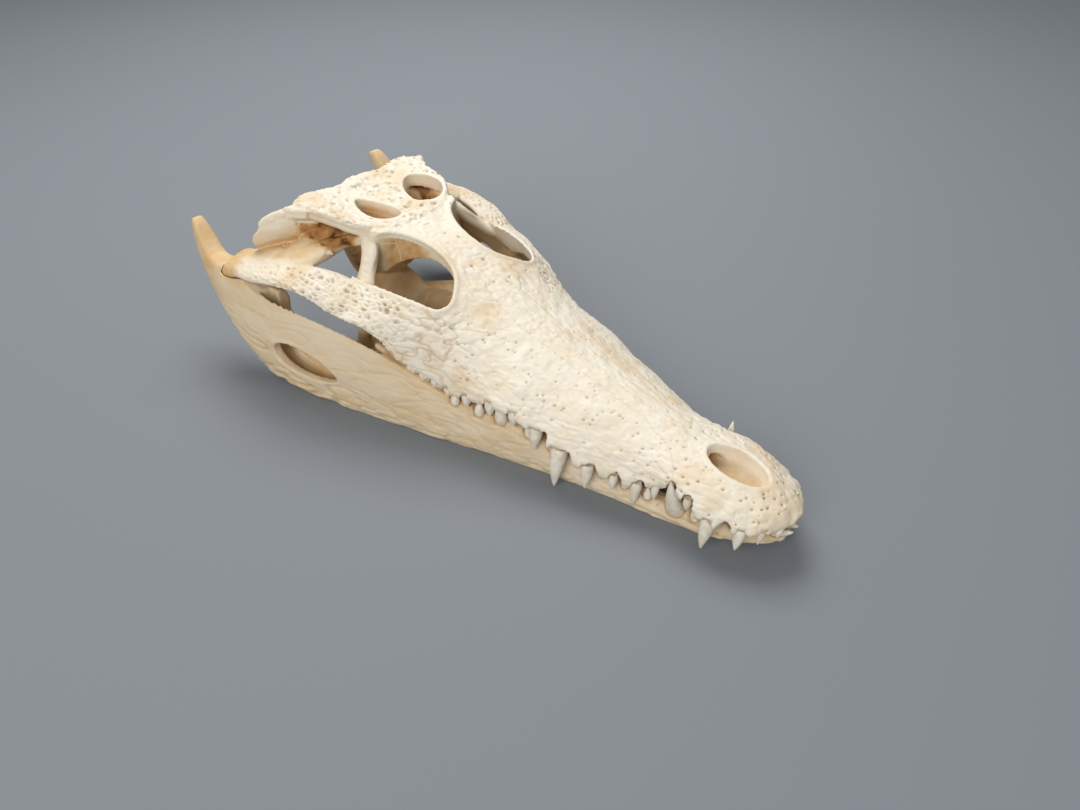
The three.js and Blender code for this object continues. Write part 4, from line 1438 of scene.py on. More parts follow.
        # the cheek: a coarse network of pits, drawn out forwards
        cheek = outer * smoothstep(beyond, -0.5, 2.5) * window(s, 192, 214, 288, 306)
        cheek = cheek * (1 - 0.85 * smoothstep(s, 250, 296) * (1 - smoothstep(beyond, 2, 6)))
        c.network(cheek, 1.4, (4, 2.7, 2.7), 17, 0.5, 1)
        ahead = outer * smoothstep(beyond, -2, 3) * window(s, 150, 186, 200, 222)
        c.creases(ahead, 0.8, (7, 2.9, 2.6), 19, 0.22, 0.55)

        # wrinkles along the gums, and small holes for nerves and vessels
        over_gum = z - Lines.GUM(s)
        snout = 1 - smoothstep(s, 178, 200)
        flank = shell * smoothstep(c.outward, 0.15, 0.6)
        c.creases(flank * window(over_gum, 1.5, 4, 12, 22) * window(s, 58, 72, 186, 212),
                  0.3, (8, 3, 2.1), 23, 0.22, 0.14)
        c.lumps(bone * (1 - cheek), 0.32, (3.8, 2.5, 2.5), 25, 2)
        c.creases(bone * snout * (1 - flank) * smoothstep(s, 60, 90), 0.16,
                  (14, 2.2, 4), 27, 0.16, 0.06)
        c.creases(bone * (1 - snout) * (1 - cheek) * before, 0.3, (7, 3, 3), 29, 0.2, 0.14)
        nose = shell * calm * (1 - smoothstep(s, 60, 78))
        c.creases(nose * smoothstep(s, 3, 7), 0.32, (6, 3, 2.6), 38, 0.2, 0.12)
        c.holes(nose * smoothstep(s, 3, 7), 1.1, 3, (0.55, 1.0), 33, 0.72)
        freckled = window(s, 50, 60, 168, 205) * smoothstep(over_gum, 3, 7)
        c.holes(shell * calm * freckled * (0.5 + 0.5 * smoothstep(c.outward, 0.1, 0.45)), 0.95,
                3.5, (0.55, 1.0), 35, 0.66, 0.8)
        c.holes(bone * window(s, 168, 184, 243, 247) * smoothstep(up, 0.4, 0.7), 0.7, 4.6,
                (0.7, 1.4), 37, 0.5, 0.7)
        worn = 0.25 + 0.75 * smoothstep(lumps(p, 12, 40), -0.5, 0.3)
        c.network(deck * smoothstep(to_window, 1, 3) * worn, 1.35, 3.9, 41, 0.5, 0.75)
        c.holes(deck * smoothstep(to_window, 0.6, 1.8), 1.2, 4.2, (0.8, 1.4), 42, 0.8, 0.9)

    def carve_ear(self, c: Carving, masks: Masks) -> None:
        """Cuts the groove along the deck's edge and the hollows under it, darkened with painted
        shade.
        """
        s, a, z, p, top = c.station, c.out, c.height, c.points, masks.top
        outline = round_off(np.array(self.rear.deck_outline), 4)
        eave = outline[(outline[:, 0] > 250) & (outline[:, 1] > 25)]
        to_eave = np.min([np.hypot(s - x, a - y) for x, y in eave], axis=0)
        side_wall = window(s, 254, 260, 297, 304) * smoothstep(c.outward, 0.2, 0.6)
        groove = np.exp(-((z - top + 3.3) / 0.9) ** 2) * side_wall * (to_eave < 6)
        c.raised -= 0.8 * groove
        # painted shade in the groove
        c.tint("pit", 0.35 * groove)
        ear = (window(s, 256, 266, 292, 303) * window(z, 76, 80, 87.5, 89.5)
               * window(a, 26, 31, 44, 49) * (1 - smoothstep(top - z, 15, 20))
               * smoothstep(top - z, 5, 7))
        c.holes(ear, 2.4, (6.5, 6.5, 6.5), (1.6, 2.6), 47, 0.85, 1)
        # the hollows under the deck's edge: stained brown, darkened with painted shade, near black
        # in their holes
        c.tint("stain_and_shade", ear * (0.85 + 0.25 * lumps(p, 6, 48)))
        c.tint("stain_and_shade", ear * c.pit)

    def carve_joints(self, c: Carving, masks: Masks) -> None:
        """Cuts the snout's sutures and the sockets of the upper teeth."""
        seen_above = masks.bone * smoothstep(c.facing[:, 2], 0, 0.3)
        for line, sunk, width in SNOUT_SUTURES:
            c.seam(np.array(line, float), seen_above, sunk, width)
        low = 1 - smoothstep(c.height - Lines.GUM(c.station), 5, 9)
        for name in SIDES:
            c.sockets(TOOTH_ROWS[name, True].teeth(), low * smoothstep(c.station, 5, 9))

    def stain_and_shade(self, c: Carving, masks: Masks) -> None:
        """Stains the bone and paints shade: what lies under the outer surface is darker, the
        brain's box most.
        """
        s, a, z, p = c.station, c.out, c.height, c.points
        top, depth, before, outer = masks.top, masks.depth, masks.before, masks.outer
        over_gum = z - Lines.GUM(s)
        patchy = 0.75 + 0.35 * lumps(p, 13, 51, 2)
        inner = (1 - outer) * patchy
        # what lies inside is stained brown and darkened with painted shade, the deeper the darker
        c.tint("stain_and_shade", 0.2 * inner)
        c.tint("stain_and_shade", inner * 0.42 * smoothstep(depth, 3, 7) * window(s, 160, 190, 246, 252))
        c.tint("stain_and_shade", (1 - outer) * (0.85 + 0.3 * lumps(p, 7, 53, 2))
               * blob(p, (250, 6, 66), (16, 19, 17)))
        c.tint("stain_and_shade", (1 - outer) * (0.95 + 0.3 * lumps(p, 6, 54, 2)) * (top - z > 3)
               * blob(p, (244, 13, 78), (17, 14, 17)))
        c.tint("stain_and_shade", (1 - outer) * (0.75 + 0.3 * lumps(p, 8, 58, 2))
               * blob(p, (286, 17, 52), (26, 10, 22)))
        for amount, centre, reach in (
            (0.75, (258, 20, 48), (24, 26, 20)), (0.75, (264, 22, 68), (22, 16, 22)),
            (0.45, (290, 22, 70), (16, 30, 16)),
        ):
            c.tint("stain_and_shade", inner * amount * blob(p, centre, reach))
        c.tint("stain_and_shade", inner * 0.5 * window(top - z, 3, 9, 40, 60) * window(s, 254, 262, 280, 286)
               * (a < 36))
        c.tint("stain_and_shade", 0.34 * smoothstep(masks.to_naris, -1, 0) * window(s, 16, 20, 47, 50)
               * (a < self.snout.naris[2]) * smoothstep(top - z, 4, 10) * (z > 24))
        # painted shade, near black, deep in the nose's passage
        c.tint("stain_and_shade", 0.8 * blob(p, (50, 0, 28.5), (8, 7, 5)) * (top - z > 4))
        c.tint("stain_and_shade", 0.38 * (1 - smoothstep(over_gum, -1.5, 1.2)) * before * (s > 4))
        c.tint("warm", smoothstep(s, 262, 284) * (1 - smoothstep(masks.beyond, -3, 3))
               * (1 - smoothstep(z + 0.5 * (a - 60) + 6 * smoothstep(s, 290, 298), 79, 84))
               * (z < 85) * (0.8 + 0.35 * lumps(p, 11, 55, 2)))
        c.tint("warm", smoothstep(s, 308, 322) * (0.95 + 0.3 * lumps(p, 9, 56, 2)))
        c.tint("warm", 0.35 * smoothstep(lumps(p, 16, 57, 2), 0.15, 0.7) * outer)
        c.tint("warm", 0.5 * blob(p, (206, 26, 78), (22, 14, 12)) * outer * patchy)
        c.tint("warm", 0.4 * smoothstep(s, 18, 2) * patchy)

    def part(self, whole: Piece) -> dict[str, Piece]:
        """Parts the carved skull into its bones.

        Args:
            whole: The carved skull, which is used up.

        Returns:
            The bones by name.
        """
        bones = {}
        plans = [(name, zones, 1) for name, zones in MIDDLE_BONES.items()]
        for name, zones in PAIRED_BONES.items():
            plans += [(f"{name}_{side}", zones, sign) for side, sign in SIDES.items()]
        plans.append(("jugal_left", (LEFT_HALF,), SIDES["left"]))
        for name, zones, sign in plans:
            room = unite("room", [zone.cutter(sign) for zone in zones])
            bones[name] = part_off(whole, room, name)
        bones["jugal_right"] = whole
        return bones


# ---- the lower jaw ----------------------------------------------------------------------


@dataclass
class LowerJaw:
    """One half of the lower jaw.

    Attributes:
        name: left or right.
        end: The station where it ends.
        symphysis_gap: Half the gap between the halves at the chin.
        trough: Station, inner side, outer side and floor of the room for the jaw muscle.
        wall_top: The height of the trough's inner wall.
        window: Station, height, half length, half height and turn of the opening through
            the outer wall.
        joint_gap: The gap between it and the upper skull's joint.
        voxel: The size of its skin's faces.
        smoothing: How often its skin is smoothed.
    """

    name: str
    end: float = 373
    symphysis_gap: float = 0.2
    trough: Rows = (
        (214, 57.5, 60, 34), (226, 59, 63.5, 22), (245, 63, 68.5, 9), (268, 67.5, 74.5, 7),
        (285, 70, 77.5, 12), (297, 69, 76, 30),
    )
    wall_top: float = 29
    window: tuple[float, float, float, float, float] = (263, 24.5, 21.5, 8.8, 0.17)
    joint_gap: float = 0.6
    voxel: float = 0.75
    smoothing: int = 4

    @property
    def side(self) -> int:
        """1 on the left, -1 on the right."""
        return SIDES[self.name]

    def ring(self, station: float, spare: float = 0) -> Array:
        """One cross-section: a bulging outer face and a flatter inner one.

        Args:
            station: Where it stands.
            spare: How much it is thickened outwards and upwards.

        Returns:
            The ring's points.
        """
        outer = Lines.JAW_OUTER(station) + spare
        inner = max(Lines.JAW_OUTER(station) - Lines.JAW_THICKNESS(station), self.symphysis_gap)
        low, high = Lines.JAW_BOTTOM(station), Lines.JAW_TOP(station) + spare
        tall, wide, keel = high - low, outer - inner, Lines.JAW_KEEL(station)
        corners = np.array([
            (inner + wide * keel, low), (outer - wide * 0.16, low + tall * 0.03),
            (outer, low + tall * 0.35), (outer - wide * 0.03, low + tall * 0.66),
            (outer - wide * 0.26, high), (inner + wide * 0.22, high),
            (inner, high - tall * 0.14), (inner + wide * max(keel - 0.35, 0), low + tall * 0.2),
        ])
        ring = round_off(corners, 4)
        ring[:, 0] = np.clip(ring[:, 0], inner, outer)
        ring[:, 1] = np.clip(ring[:, 1], low, high)
        return np.column_stack([
            np.full(len(ring), station), self.side * ring[:, 0], ring[:, 1]])

    def body(self, first: float, last: float, spare: float = 0) -> Piece:
        """The half's solid form between two stations."""
        stations = [place for place in (3.5, 4.6, 6.2, 8.2, 10.5, 13.5, 17)
                    if place > first] + list(span(max(first, 20.5), last - 1.6, 3.6))
        rings = [self.ring(station, spare) for station in stations]
        for station, size in ((last - 0.6, 0.8), (last, 0.4)):
            ring = self.ring(last - 1.6, spare)
            centre = ring.mean(axis=0)
            ring = centre + (ring - centre) * size
            ring[:, 0] = station
            rings.append(ring)
        return loft("jaw", np.array(rings))

    def muscle_room(self) -> list[Piece]:
        """The trough for the jaw muscle and the room over its low inner wall."""
        side = self.side
        rows = ease_rows(self.trough, 3)
        trough = [[(s, side * inner, floor + 3), (s, side * (inner + 3), floor),
                   (s, side * (outer - 2), floor), (s, side * outer, floor + 4),
                   (s, side * outer, 80), (s, side * inner, 80)]
                  for s, inner, outer, floor in rows]
        shelf = []
        for s, inner, outer, _ in rows[2:-2]:
            low, near, middle = max(self.wall_top, s - 246), inner - 12, (inner + outer) / 2
            shelf.append([(s, side * y, z) for y, z in (
                (near, low), (middle, low), (middle, 80), (near, 80))])
        return [loft("trough", np.array(trough)), loft("shelf", np.array(shelf))]

    def window_outline(self, size: float = 1) -> Array:
        """The rim of the opening through the outer wall, as station and height."""
        station, height, half_length, half_height, turn = self.window
        angle = round_angles(36)
        # blunter behind than in front, where it runs out into a groove
        blunt = half_height * np.sin(angle) * (1 + 0.18 * np.cos(angle))
        along = half_length * np.cos(angle)
        return np.stack([
            station + (along * math.cos(turn) - blunt * math.sin(turn)) * size,
            height + (along * math.sin(turn) + blunt * math.cos(turn)) * size,
        ], axis=-1)

    def build(self) -> Piece:
        """The half with its trough, its window and its joint."""
        whole = self.body(3, self.end)
        rim = self.window_outline()
        cutter = loft("jaw_window", np.array([
            [(s, self.side * across, z) for s, z in rim] for across in (66, 100)]))
        for tool in (*self.muscle_room(), cutter):
            combine(whole, tool, "DIFFERENCE")
        rear = RearSkull()
        for rows in (rear.cheek_bar, rear.hinge_strap):
            longer = [*rows, (rows[-1][0] + 1, *rows[-1][1:])]
            joint = strut("joint", longer, self.side, Plane.ACROSS, self.joint_gap)
            combine(whole, joint, "DIFFERENCE")
        soften(whole, self.voxel, self.smoothing)
        whole.name = f"jaw_{self.name}"
        return whole

    def carve(self, whole: Piece) -> None:
        """Gives the surface its grain, wrinkles, holes and sutures, its staining and painted
        shade.
        """
        c = Carving(whole)
        s, a, z, p = c.station, c.out, c.height, c.points
        low, high = Lines.JAW_BOTTOM(s), Lines.JAW_TOP(s)
        share = (z - low) / np.maximum(high - low, 1)
        inwards = Lines.JAW_OUTER(s) - a
        trough_wall = (smoothstep(inwards, 5, 7) * window(s, 225, 240, 288, 298)
                       * smoothstep(c.outward, -0.1, 0.3) * (share < 0.9))
        outside = (smoothstep(c.outward, -0.5, 0)
                   * (1 - smoothstep(inwards / Lines.JAW_THICKNESS(s), 0.55, 0.75))
                   * (1 - trough_wall) * (1 - 0.8 * smoothstep(s, 322, 340)))
        to_window = gap_to(self.window_outline(), np.column_stack([s, z]))
        calm = smoothstep(to_window, 0.5, 3)
        resting = 1 - smoothstep(z, 0.3, 1.2)

        c.lumps(outside * (1 - resting), 0.42, (22, 9, 9), 103)
        c.lumps(outside * (1 - resting), 0.14, (9, 3.4, 3.4), 104, 2)
        c.lumps(1 - resting, 0.12, 5, 105, 2)
        rearward = smoothstep(s, 205, 262)
        c.creases(outside * (1 - rearward), 0.42, (30, 5, 3), 107, 0.17, 0.3)
        c.creases(outside * rearward * calm * (1 - smoothstep(share, 0.4, 0.7)), 1.1,
                  (20, 6, 4.4), 109, 0.22, 0.5)
        c.creases(outside * rearward * smoothstep(share, 0.5, 0.8), 0.3, (34, 6, 5), 111,
                  0.14, 0.3)
        c.creases(outside * (1 - smoothstep(z, 5, 12)) * (1 - resting), 0.7, (14, 3, 2.6), 113,
                  0.22, 0.35)
        c.holes(outside * (1 - smoothstep(s, 70, 110)), 0.7, 5.2, (0.45, 0.9), 115, 0.55)
        c.holes(outside * window(share, 0.55, 0.7, 0.9, 1) * window(s, 60, 100, 205, 220), 0.7,
                8.5, (0.5, 0.85), 117, 0.55)
        c.holes(outside * window(s, 230, 250, 300, 320) * smoothstep(share, 0.6, 0.8), 0.5,
                11, (0.5, 0.8), 119, 0.4)
        c.raised += outside * 0.3 * np.exp(-((to_window - 1) / 1.4) ** 2)

        # the sutures that run forwards from the window
        wander = 0.9 * lumps(p, 3.2, 121) + 0.5 * lumps(p, 1.6, 122)
        for start, end, drop in (((242.5, 19.5), (176, 12), 0.4), ((243, 28), (214, 33), 0.3),
                                 ((284, 30), (322, 40), 0.3)):
            t = np.clip((s - start[0]) / (end[0] - start[0]), -0.02, 1.02)
            line = start[1] + (end[1] - start[1]) * t
            inside = window(t, -0.02, 0, 0.97, 1.02)
            cut = outside * inside * np.exp(-((z - line + wander) / 0.5) ** 2)
            c.raised -= drop * cut
            c.tint("pit", SEAM_DARK * cut)

        c.sockets(TOOTH_ROWS[self.name, False].teeth(), smoothstep(share, 0.3, 0.7))

        patchy = 0.75 + 0.35 * lumps(p, 14, 131, 2)
        inner = (1 - outside) * patchy
        gums = smoothstep(share, 0.84, 1) * (1 - smoothstep(s, 205, 225)) * smoothstep(s, 20, 40)
        # the inner faces are stained brown and darkened with painted shade, most low in the trough
        c.tint("stain_and_shade", 0.22 * inner)
        c.tint("stain_and_shade", 0.5 * inner * window(s, 212, 230, 292, 300) * (1 - smoothstep(z, 30, 46)))
        c.tint("stain_and_shade", 0.36 * gums * patchy)
        c.tint("warm", 0.2 + 0.24 * lumps(p, (34, 7, 7), 133, 2) + 0.14 * smoothstep(s, 60, 200))
        c.tint("warm", 0.3 * window(s, 90, 120, 190, 215) * smoothstep(share, 0.7, 0.95))
        c.tint("warm", 0.85 * smoothstep(s, 318, 345) * patchy)
        c.tint("warm", 0.7 * smoothstep(s, 296, 312) * smoothstep(share, 0.75, 0.95))
        c.tint("stain_and_shade", 0.4 * blob(p, (346, 72, 57), (9, 12, 6)))
        c.apply()

    def part(self, whole: Piece) -> dict[str, Piece]:
        """Parts the carved half into its three bones."""
        bones = {}
        # each suture leans backwards as it rises: its station at the two ends of the cutter
        for name, (low_cut, high_cut) in (("dentary", (200, 264)), ("angular", (280, 328))):
            corners = ((-120, -40), (130, -40), (130, 120), (-120, 120))
            cuts = (low_cut, low_cut, high_cut, high_cut)
            room = loft("room", np.array([
                [(-20, self.side * y, z) for y, z in corners],
                [(cut, self.side * y, z) for cut, (y, z) in zip(cuts, corners)],
            ]))
            bones[f"{name}_{self.name}"] = part_off(whole, room, f"{name}_{self.name}")
        bones[f"articular_{self.name}"] = whole
        return bones


# ---- finishes ---------------------------------------------------------------------------

Colour = Triple


class Shader:
    """A material under construction: its node tree and shorthand for adding nodes."""

    def __init__(self, name: str) -> None:
        """Starts a material.

        Args:
            name: The material's name.
        """
        self.material = bpy.data.materials.new(name)
        self.material.use_nodes = True
        self.tree = self.material.node_tree
        self.surface = self.tree.nodes["Principled BSDF"]
        self.place = self.tree.nodes.new("ShaderNodeTexCoord").outputs["Object"]

    def node(self, kind: str, settings: dict[str, object] | None = None,
             **inputs: object) -> bpy.types.Node:
        """Adds a node.

        Args:
            kind: The node's type without its prefix.
            settings: The node's own properties.
            inputs: Its input sockets by name, with _ for a space: a value or an output.

        Returns:
            The node.
        """
        made = self.tree.nodes.new(f"ShaderNode{kind}")
        for name, value in (settings or {}).items():
            setattr(made, name, value)
        for name, value in inputs.items():
            key = int(name[1:]) if name[1:].isdigit() else name.replace("_", " ")
            self.feed(made.inputs[key], value)
        return made

    def feed(self, socket: Socket, value: object) -> None:
        """Links an output to a socket, or sets the socket to a value."""
        if isinstance(value, Socket):
            self.tree.links.new(value, socket)
        elif isinstance(value, tuple) and socket.type == "RGBA":
            socket.default_value = (*value, 1)
        else:
            socket.default_value = value

    def noise(self, size: float, detail: float = 2, stretch: Triple = (1, 1, 1),
              roughness: float = 0.5) -> Socket:
        """A noise whose lumps are about as wide as the size in millimetres."""
        mapped = self.node("Mapping", Vector=self.place, Scale=stretch).outputs[0]
        made = self.node("TexNoise", Vector=mapped, Scale=1 / (size * MM), Detail=detail,
                         Roughness=roughness)
        return made.outputs[0]

    def between(self, value: Socket, low: float, high: float, start: float = 0,
                end: float = 1) -> Socket:
        """Maps a value from one range to another, clamped and eased."""
        made = self.node("MapRange", {"interpolation_type": "SMOOTHSTEP"}, Value=value,
                         From_Min=low, From_Max=high, To_Min=start, To_Max=end)
        return made.outputs[0]

    def blend(self, amount: object, first: object, second: object) -> Socket:
        """Mixes two colours."""
        return self.node("Mix", {"data_type": "RGBA"}, _0=amount, _6=first, _7=second).outputs[2]

    def product(self, first: object, second: object) -> Socket:
        """The product of two values, clamped from 0 to 1."""
        return self.node("Math", {"operation": "MULTIPLY", "use_clamp": True},
                         _0=first, _1=second).outputs[0]

    def glaze(self, under: object, over: object, amount: object, strength: object) -> Socket:
        """Lays a colour over another one, as much as the amount times the strength."""
        return self.blend(self.product(amount, strength), under, over)

    def field(self, name: str) -> Socket:
        """A number stored at each point of the piece."""
        return self.node("Attribute", {"attribute_name": name}).outputs["Fac"]

    def bump(self, height: Socket, depth: float, strength: float,
             under: Socket | None = None) -> Socket:
        """Roughens the surface's shading.

        Args:
            height: The relief, from 0 to 1.
            depth: Its depth in millimetres.
            strength: How much of it shows.
            under: The relief that this one lies on.

        Returns:
            The changed normal.
        """
        made = self.node("Bump", Height=height, Distance=depth * MM, Strength=strength)
        if under:
            self.feed(made.inputs["Normal"], under)
        return made.outputs[0]

    def wire(self, **inputs: object) -> None:
        """Sets or links the surface's own sockets."""
        for name, value in inputs.items():
            self.feed(self.surface.inputs[name.replace("_", " ")], value)


@dataclass(frozen=True)
class BoneFinish:
    """Cleaned and bleached bone, stained where it was hard to reach, with painted shade in its
    pits and hollows.

    Attributes:
        name: The material's name.
        pale: Its colour where the light and the bleach reached it.
        cream: Its colour in soft patches.
        yellow: Its colour where fat stayed in it.
        shadow: The painted shade in pits, creases, sockets and pores, and dark sutures.
        stain_and_shade_colours: The colours of light and strong staining, and the darkest, painted
            shade.
        grain: How strongly its lengthwise grain shows.
        roughness: How matt it is.
    """

    name: str
    pale: Colour = (0.835, 0.77, 0.65)
    cream: Colour = (0.78, 0.67, 0.49)
    yellow: Colour = (0.68, 0.45, 0.20)
    shadow: Colour = (0.33, 0.20, 0.10)
    stain_and_shade_colours: tuple[Colour, Colour, Colour] = (
        (0.62, 0.41, 0.19), (0.42, 0.19, 0.055), (0.09, 0.03, 0.012),
    )
    grain: float = 0.3
    roughness: float = 0.62

    def material(self) -> bpy.types.Material:
        """Builds the material."""
        shader = Shader(self.name)
        patches = shader.between(shader.noise(21, 3), 0.42, 0.68)
        colour = shader.glaze(self.pale, self.cream, patches, 0.55)
        clouds = shader.between(shader.noise(5.5, 4), 0.3, 0.72)
        colour = shader.glaze(colour, self.cream, clouds, 0.22)
        fibres = shader.noise(1.5, 3, (0.09, 1, 1), 0.6)
        lines = shader.between(fibres, 0.56, 0.7)
        colour = shader.glaze(colour, self.cream, lines, self.grain)
        colour = shader.glaze(colour, self.yellow, shader.field("warm"),
                              shader.between(shader.noise(7, 3), 0.2, 0.6, 0.65, 1))
        stain_and_shade = shader.product(shader.field("stain_and_shade"),
                               shader.between(shader.noise(6, 4), 0.25, 0.7, 0.72, 1.12))
        # light and strong staining; the darkest colour is painted shade in deep hollows and holes
        light, strong, dark = self.stain_and_shade_colours
        colour = shader.blend(shader.between(stain_and_shade, 0, 0.5), colour, light)
        colour = shader.blend(shader.between(stain_and_shade, 0.42, 0.8), colour, strong)
        colour = shader.blend(shader.between(stain_and_shade, 0.78, 1), colour, dark)
        # painted shade in pits, creases, sockets and grooves, and the dark of the sutures
        pit = shader.between(shader.field("pit"), 0.1, 1)
        colour = shader.glaze(colour, self.shadow, pit, 0.72)
        # painted shade in small scattered pores, which the bump also sinks
        pores = shader.node("TexVoronoi", Vector=shader.place, Scale=1 / (2.3 * MM))
        pore_shade = shader.between(pores.outputs["Distance"], 0.05, 0.12, 1, 0)
        rare = shader.between(shader.noise(9, 1), 0.5, 0.62, 0, 0.4)
        colour = shader.glaze(colour, self.shadow, pore_shade, rare)
        rough = shader.between(clouds, 0, 1, self.roughness - 0.08, self.roughness + 0.08)
        relief = shader.bump(shader.noise(0.9, 4), 0.25, 0.35)
        relief = shader.bump(fibres, 0.3, self.grain, relief)
        relief = shader.bump(pore_shade, -0.3, 0.3, relief)
        shader.wire(Base_Color=colour, Roughness=rough, Normal=relief,
                    Specular_IOR_Level=0.35, Subsurface_Weight=0.06, Subsurface_Scale=0.0012)
        return shader.material


@dataclass(frozen=True)
class ToothFinish:
    """Ivory, greyer and clearer than the bone, clouded with a yellower colour."""

    name: str = "tooth ivory"
    crown: Colour = (0.88, 0.82, 0.71)
    foot: Colour = (0.64, 0.49, 0.30)
    streak: Colour = (0.55, 0.43, 0.30)

    def material(self) -> bpy.types.Material:
        """Builds the material."""
        shader = Shader(self.name)
        clouds = shader.between(shader.noise(4, 3), 0.35, 0.7)
        colour = shader.glaze(self.crown, self.foot, clouds, 0.5)
        streaks = shader.between(shader.noise(0.7, 2, (1, 1, 0.12)), 0.55, 0.7)
        colour = shader.glaze(colour, self.streak, streaks, 0.3)
        relief = shader.bump(shader.noise(0.6, 2, (1, 1, 0.12)), 0.12, 0.3)
        shader.wire(Base_Color=colour, Roughness=0.34, Normal=relief,
                    Subsurface_Weight=0.15, Subsurface_Scale=0.0015, Coat_Weight=0.15,
                    Coat_Roughness=0.25)
        return shader.material


SKULL_BONE = BoneFinish("bleached bone")
REAR_BONE = BoneFinish("bone of the brain's box", pale=(0.83, 0.74, 0.59))
INNER_BONE = BoneFinish("bone of the palate", pale=(0.78, 0.64, 0.45))
JAW_BONE = BoneFinish("bone of the lower jaw", pale=(0.80, 0.68, 0.50), grain=0.6,
                      roughness=0.52)
TOOTH_IVORY = ToothFinish()
BONE_FINISHES = (                 # the record's slot, the finish and the bones that have it
    ("skull_bone", SKULL_BONE, ("premaxilla", "maxilla", "frontal", "skull_table", "jugal")),
    ("rear_bone", REAR_BONE, ("braincase", "quadrate")),
    ("inner_bone", INNER_BONE, ("palatine", "pterygoid", "ectopterygoid")),
    ("jaw_bone", JAW_BONE, ("dentary", "angular", "articular")),
)
SHARP_EDGE = math.radians(65)     # a steeper bend stays an edge in the shading


# ---- the scene --------------------------------------------------------------------------


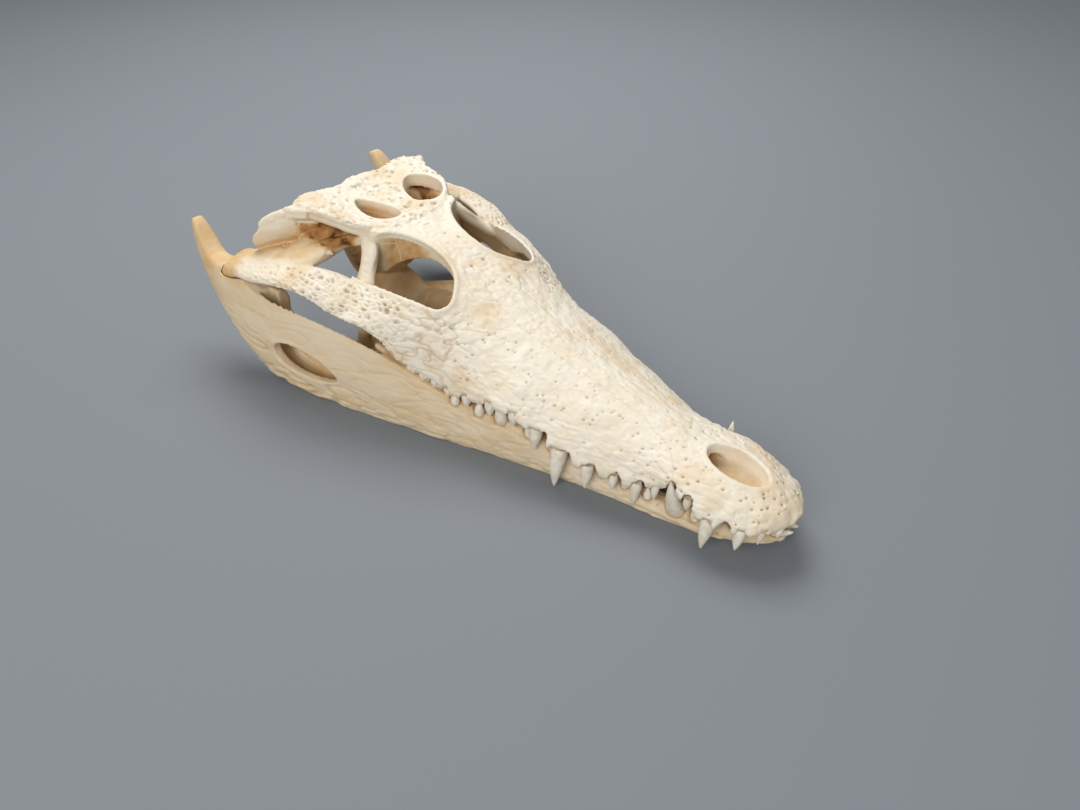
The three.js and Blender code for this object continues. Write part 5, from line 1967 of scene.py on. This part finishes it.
@dataclass
class Studio:
    """The floor, the soft light and the camera.

    Attributes:
        floor_size: The length of the floor's side in metres.
        floor_colour: Its colour.
        camera_place: Where the camera stands, in metres.
        camera_bearing: Its direction in plan in degrees, 0 when it looks along +Y.
        camera_height: How steeply it looks down, in degrees.
        camera_roll: Its roll in degrees.
        focal_length: Its focal length in millimetres.
        sensor_width: The width of its sensor in millimetres.
        aim: The point that the lights shine on.
        sky: The colour of the light from all around.
        sky_strength: The strength of that light.
    """

    floor_size: float = 9
    floor_colour: Colour = (0.225, 0.245, 0.27)
    camera_place: Triple = (0.275979, -0.269436, 0.296901)
    camera_bearing: float = 42.357
    camera_height: float = 38.679
    camera_roll: float = -0.5752
    focal_length: float = 27.834
    sensor_width: float = 36
    aim: Triple = (0, 0, 0.03)
    sky: Colour = (0.93, 0.96, 1)
    sky_strength: float = 0.3

    def floor(self) -> None:
        """A large sheet of plain pale grey."""
        bpy.ops.object.select_all(action="DESELECT")
        bpy.ops.mesh.primitive_grid_add(
            x_subdivisions=8, y_subdivisions=8, size=self.floor_size)
        sheet = bpy.context.object
        sheet.name = "floor"
        shader = Shader("floor paper")
        tone = shader.between(shader.noise(700, 1), 0.3, 0.7, 0, 0.35)
        darker = tuple(0.93 * part for part in self.floor_colour)
        shader.wire(Base_Color=shader.blend(tone, self.floor_colour, darker), Roughness=0.7,
                    Specular_IOR_Level=0.2)
        sheet.data.materials.append(shader.material)

    def light(self, name: str, place: Triple, size: float, power: float,
              colour: Colour) -> None:
        """A square soft light.

        Args:
            name: The light's name.
            place: Where it hangs.
            size: The length of its side.
            power: Its power in watts.
            colour: Its colour.
        """
        lamp = bpy.data.lights.new(name, "AREA")
        lamp.size, lamp.energy, lamp.color = size, power, colour
        holder = bpy.data.objects.new(name, lamp)
        holder.location = place
        away = Vector(place) - Vector(self.aim)
        holder.rotation_euler = away.to_track_quat("Z", "Y").to_euler()
        bpy.context.collection.objects.link(holder)

    def camera(self) -> None:
        """The camera, looking down at the skull's right side."""
        bearing, height, roll = (math.radians(angle) for angle in (
            self.camera_bearing, self.camera_height, self.camera_roll))
        back = Vector((math.sin(bearing) * math.cos(height),
                       -math.cos(bearing) * math.cos(height), math.sin(height)))
        right = Vector((0, 0, 1)).cross(back).normalized()
        up = back.cross(right)
        turned_right = math.cos(roll) * right + math.sin(roll) * up
        turned_up = math.cos(roll) * up - math.sin(roll) * right
        lens = bpy.data.cameras.new("camera")
        lens.lens, lens.sensor_width = self.focal_length, self.sensor_width
        lens.sensor_fit = "HORIZONTAL"
        lens.clip_start = 0.01
        view = bpy.data.objects.new("camera", lens)
        turn = Matrix((turned_right, turned_up, back)).transposed().to_4x4()
        view.matrix_world = Matrix.Translation(self.camera_place) @ turn
        bpy.context.collection.objects.link(view)
        bpy.context.scene.camera = view

    def build(self) -> None:
        """Sets everything up."""
        self.floor()
        self.camera()
        self.light("softbox", (-0.5, 0.4, 1.05), 0.75, 12.5, (1, 0.985, 0.96))
        self.light("fill", (0.45, -1.3, 0.85), 1.0, 15, (1, 0.98, 0.95))
        world = bpy.data.worlds.new("room")
        world.use_nodes = True
        background = world.node_tree.nodes["Background"]
        background.inputs["Color"].default_value = (*self.sky, 1)
        background.inputs["Strength"].default_value = self.sky_strength
        bpy.context.scene.world = world
        bpy.context.scene.view_settings.view_transform = "Standard"


def dress(piece: Piece, name: str, material: bpy.types.Material, slot: str,
          *nodes: str) -> None:
    """Gives a finished piece its name, its finish and its place in the frame.

    Args:
        piece: The piece.
        name: Its name in the scene.
        material: Its finish.
        slot: The record's material slot; not used.
        nodes: The solids it stands for.
    """
    piece.name = piece.data.name = name
    low, high = CAD_BOX
    write_places(piece, np.clip(read_places(piece), np.array(low), np.array(high)))
    piece.data.materials.clear()
    piece.data.materials.append(material)
    choose(piece)
    bpy.ops.object.shade_smooth_by_angle(angle=SHARP_EDGE)
    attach(piece, "root")
    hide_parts(*nodes)
    log.info("%s: %d faces", name, len(piece.data.polygons))


def main() -> None:
    """Builds the skull and the scene around it."""
    logging.basicConfig(level=logging.INFO, format="%(message)s")
    Studio().build()
    finishes = {}
    for slot, finish, names in BONE_FINISHES:
        material = finish.material()
        finishes |= {name: (material, slot) for name in names}
    ivory = TOOTH_IVORY.material()
    cranium = Cranium()
    whole = cranium.build()
    log.info("cranium in one piece: %d faces", len(whole.data.polygons))
    cranium.carve(whole)
    bones = cranium.part(whole)
    for name in SIDES:
        half = LowerJaw(name)
        body = half.build()
        half.carve(body)
        bones |= half.part(body)
    for node, bone in bones.items():
        material, slot = finishes[node.removesuffix("_left").removesuffix("_right")]
        dress(bone, f"bone.{node}", material, slot, node)
    for (name, upper), row in TOOTH_ROWS.items():
        teeth = row.build()
        dress(teeth, teeth.name, ivory, "tooth_ivory",
              f"{'maxilla' if upper else 'dentary'}_{name}")


if __name__ == "__main__":
    main()
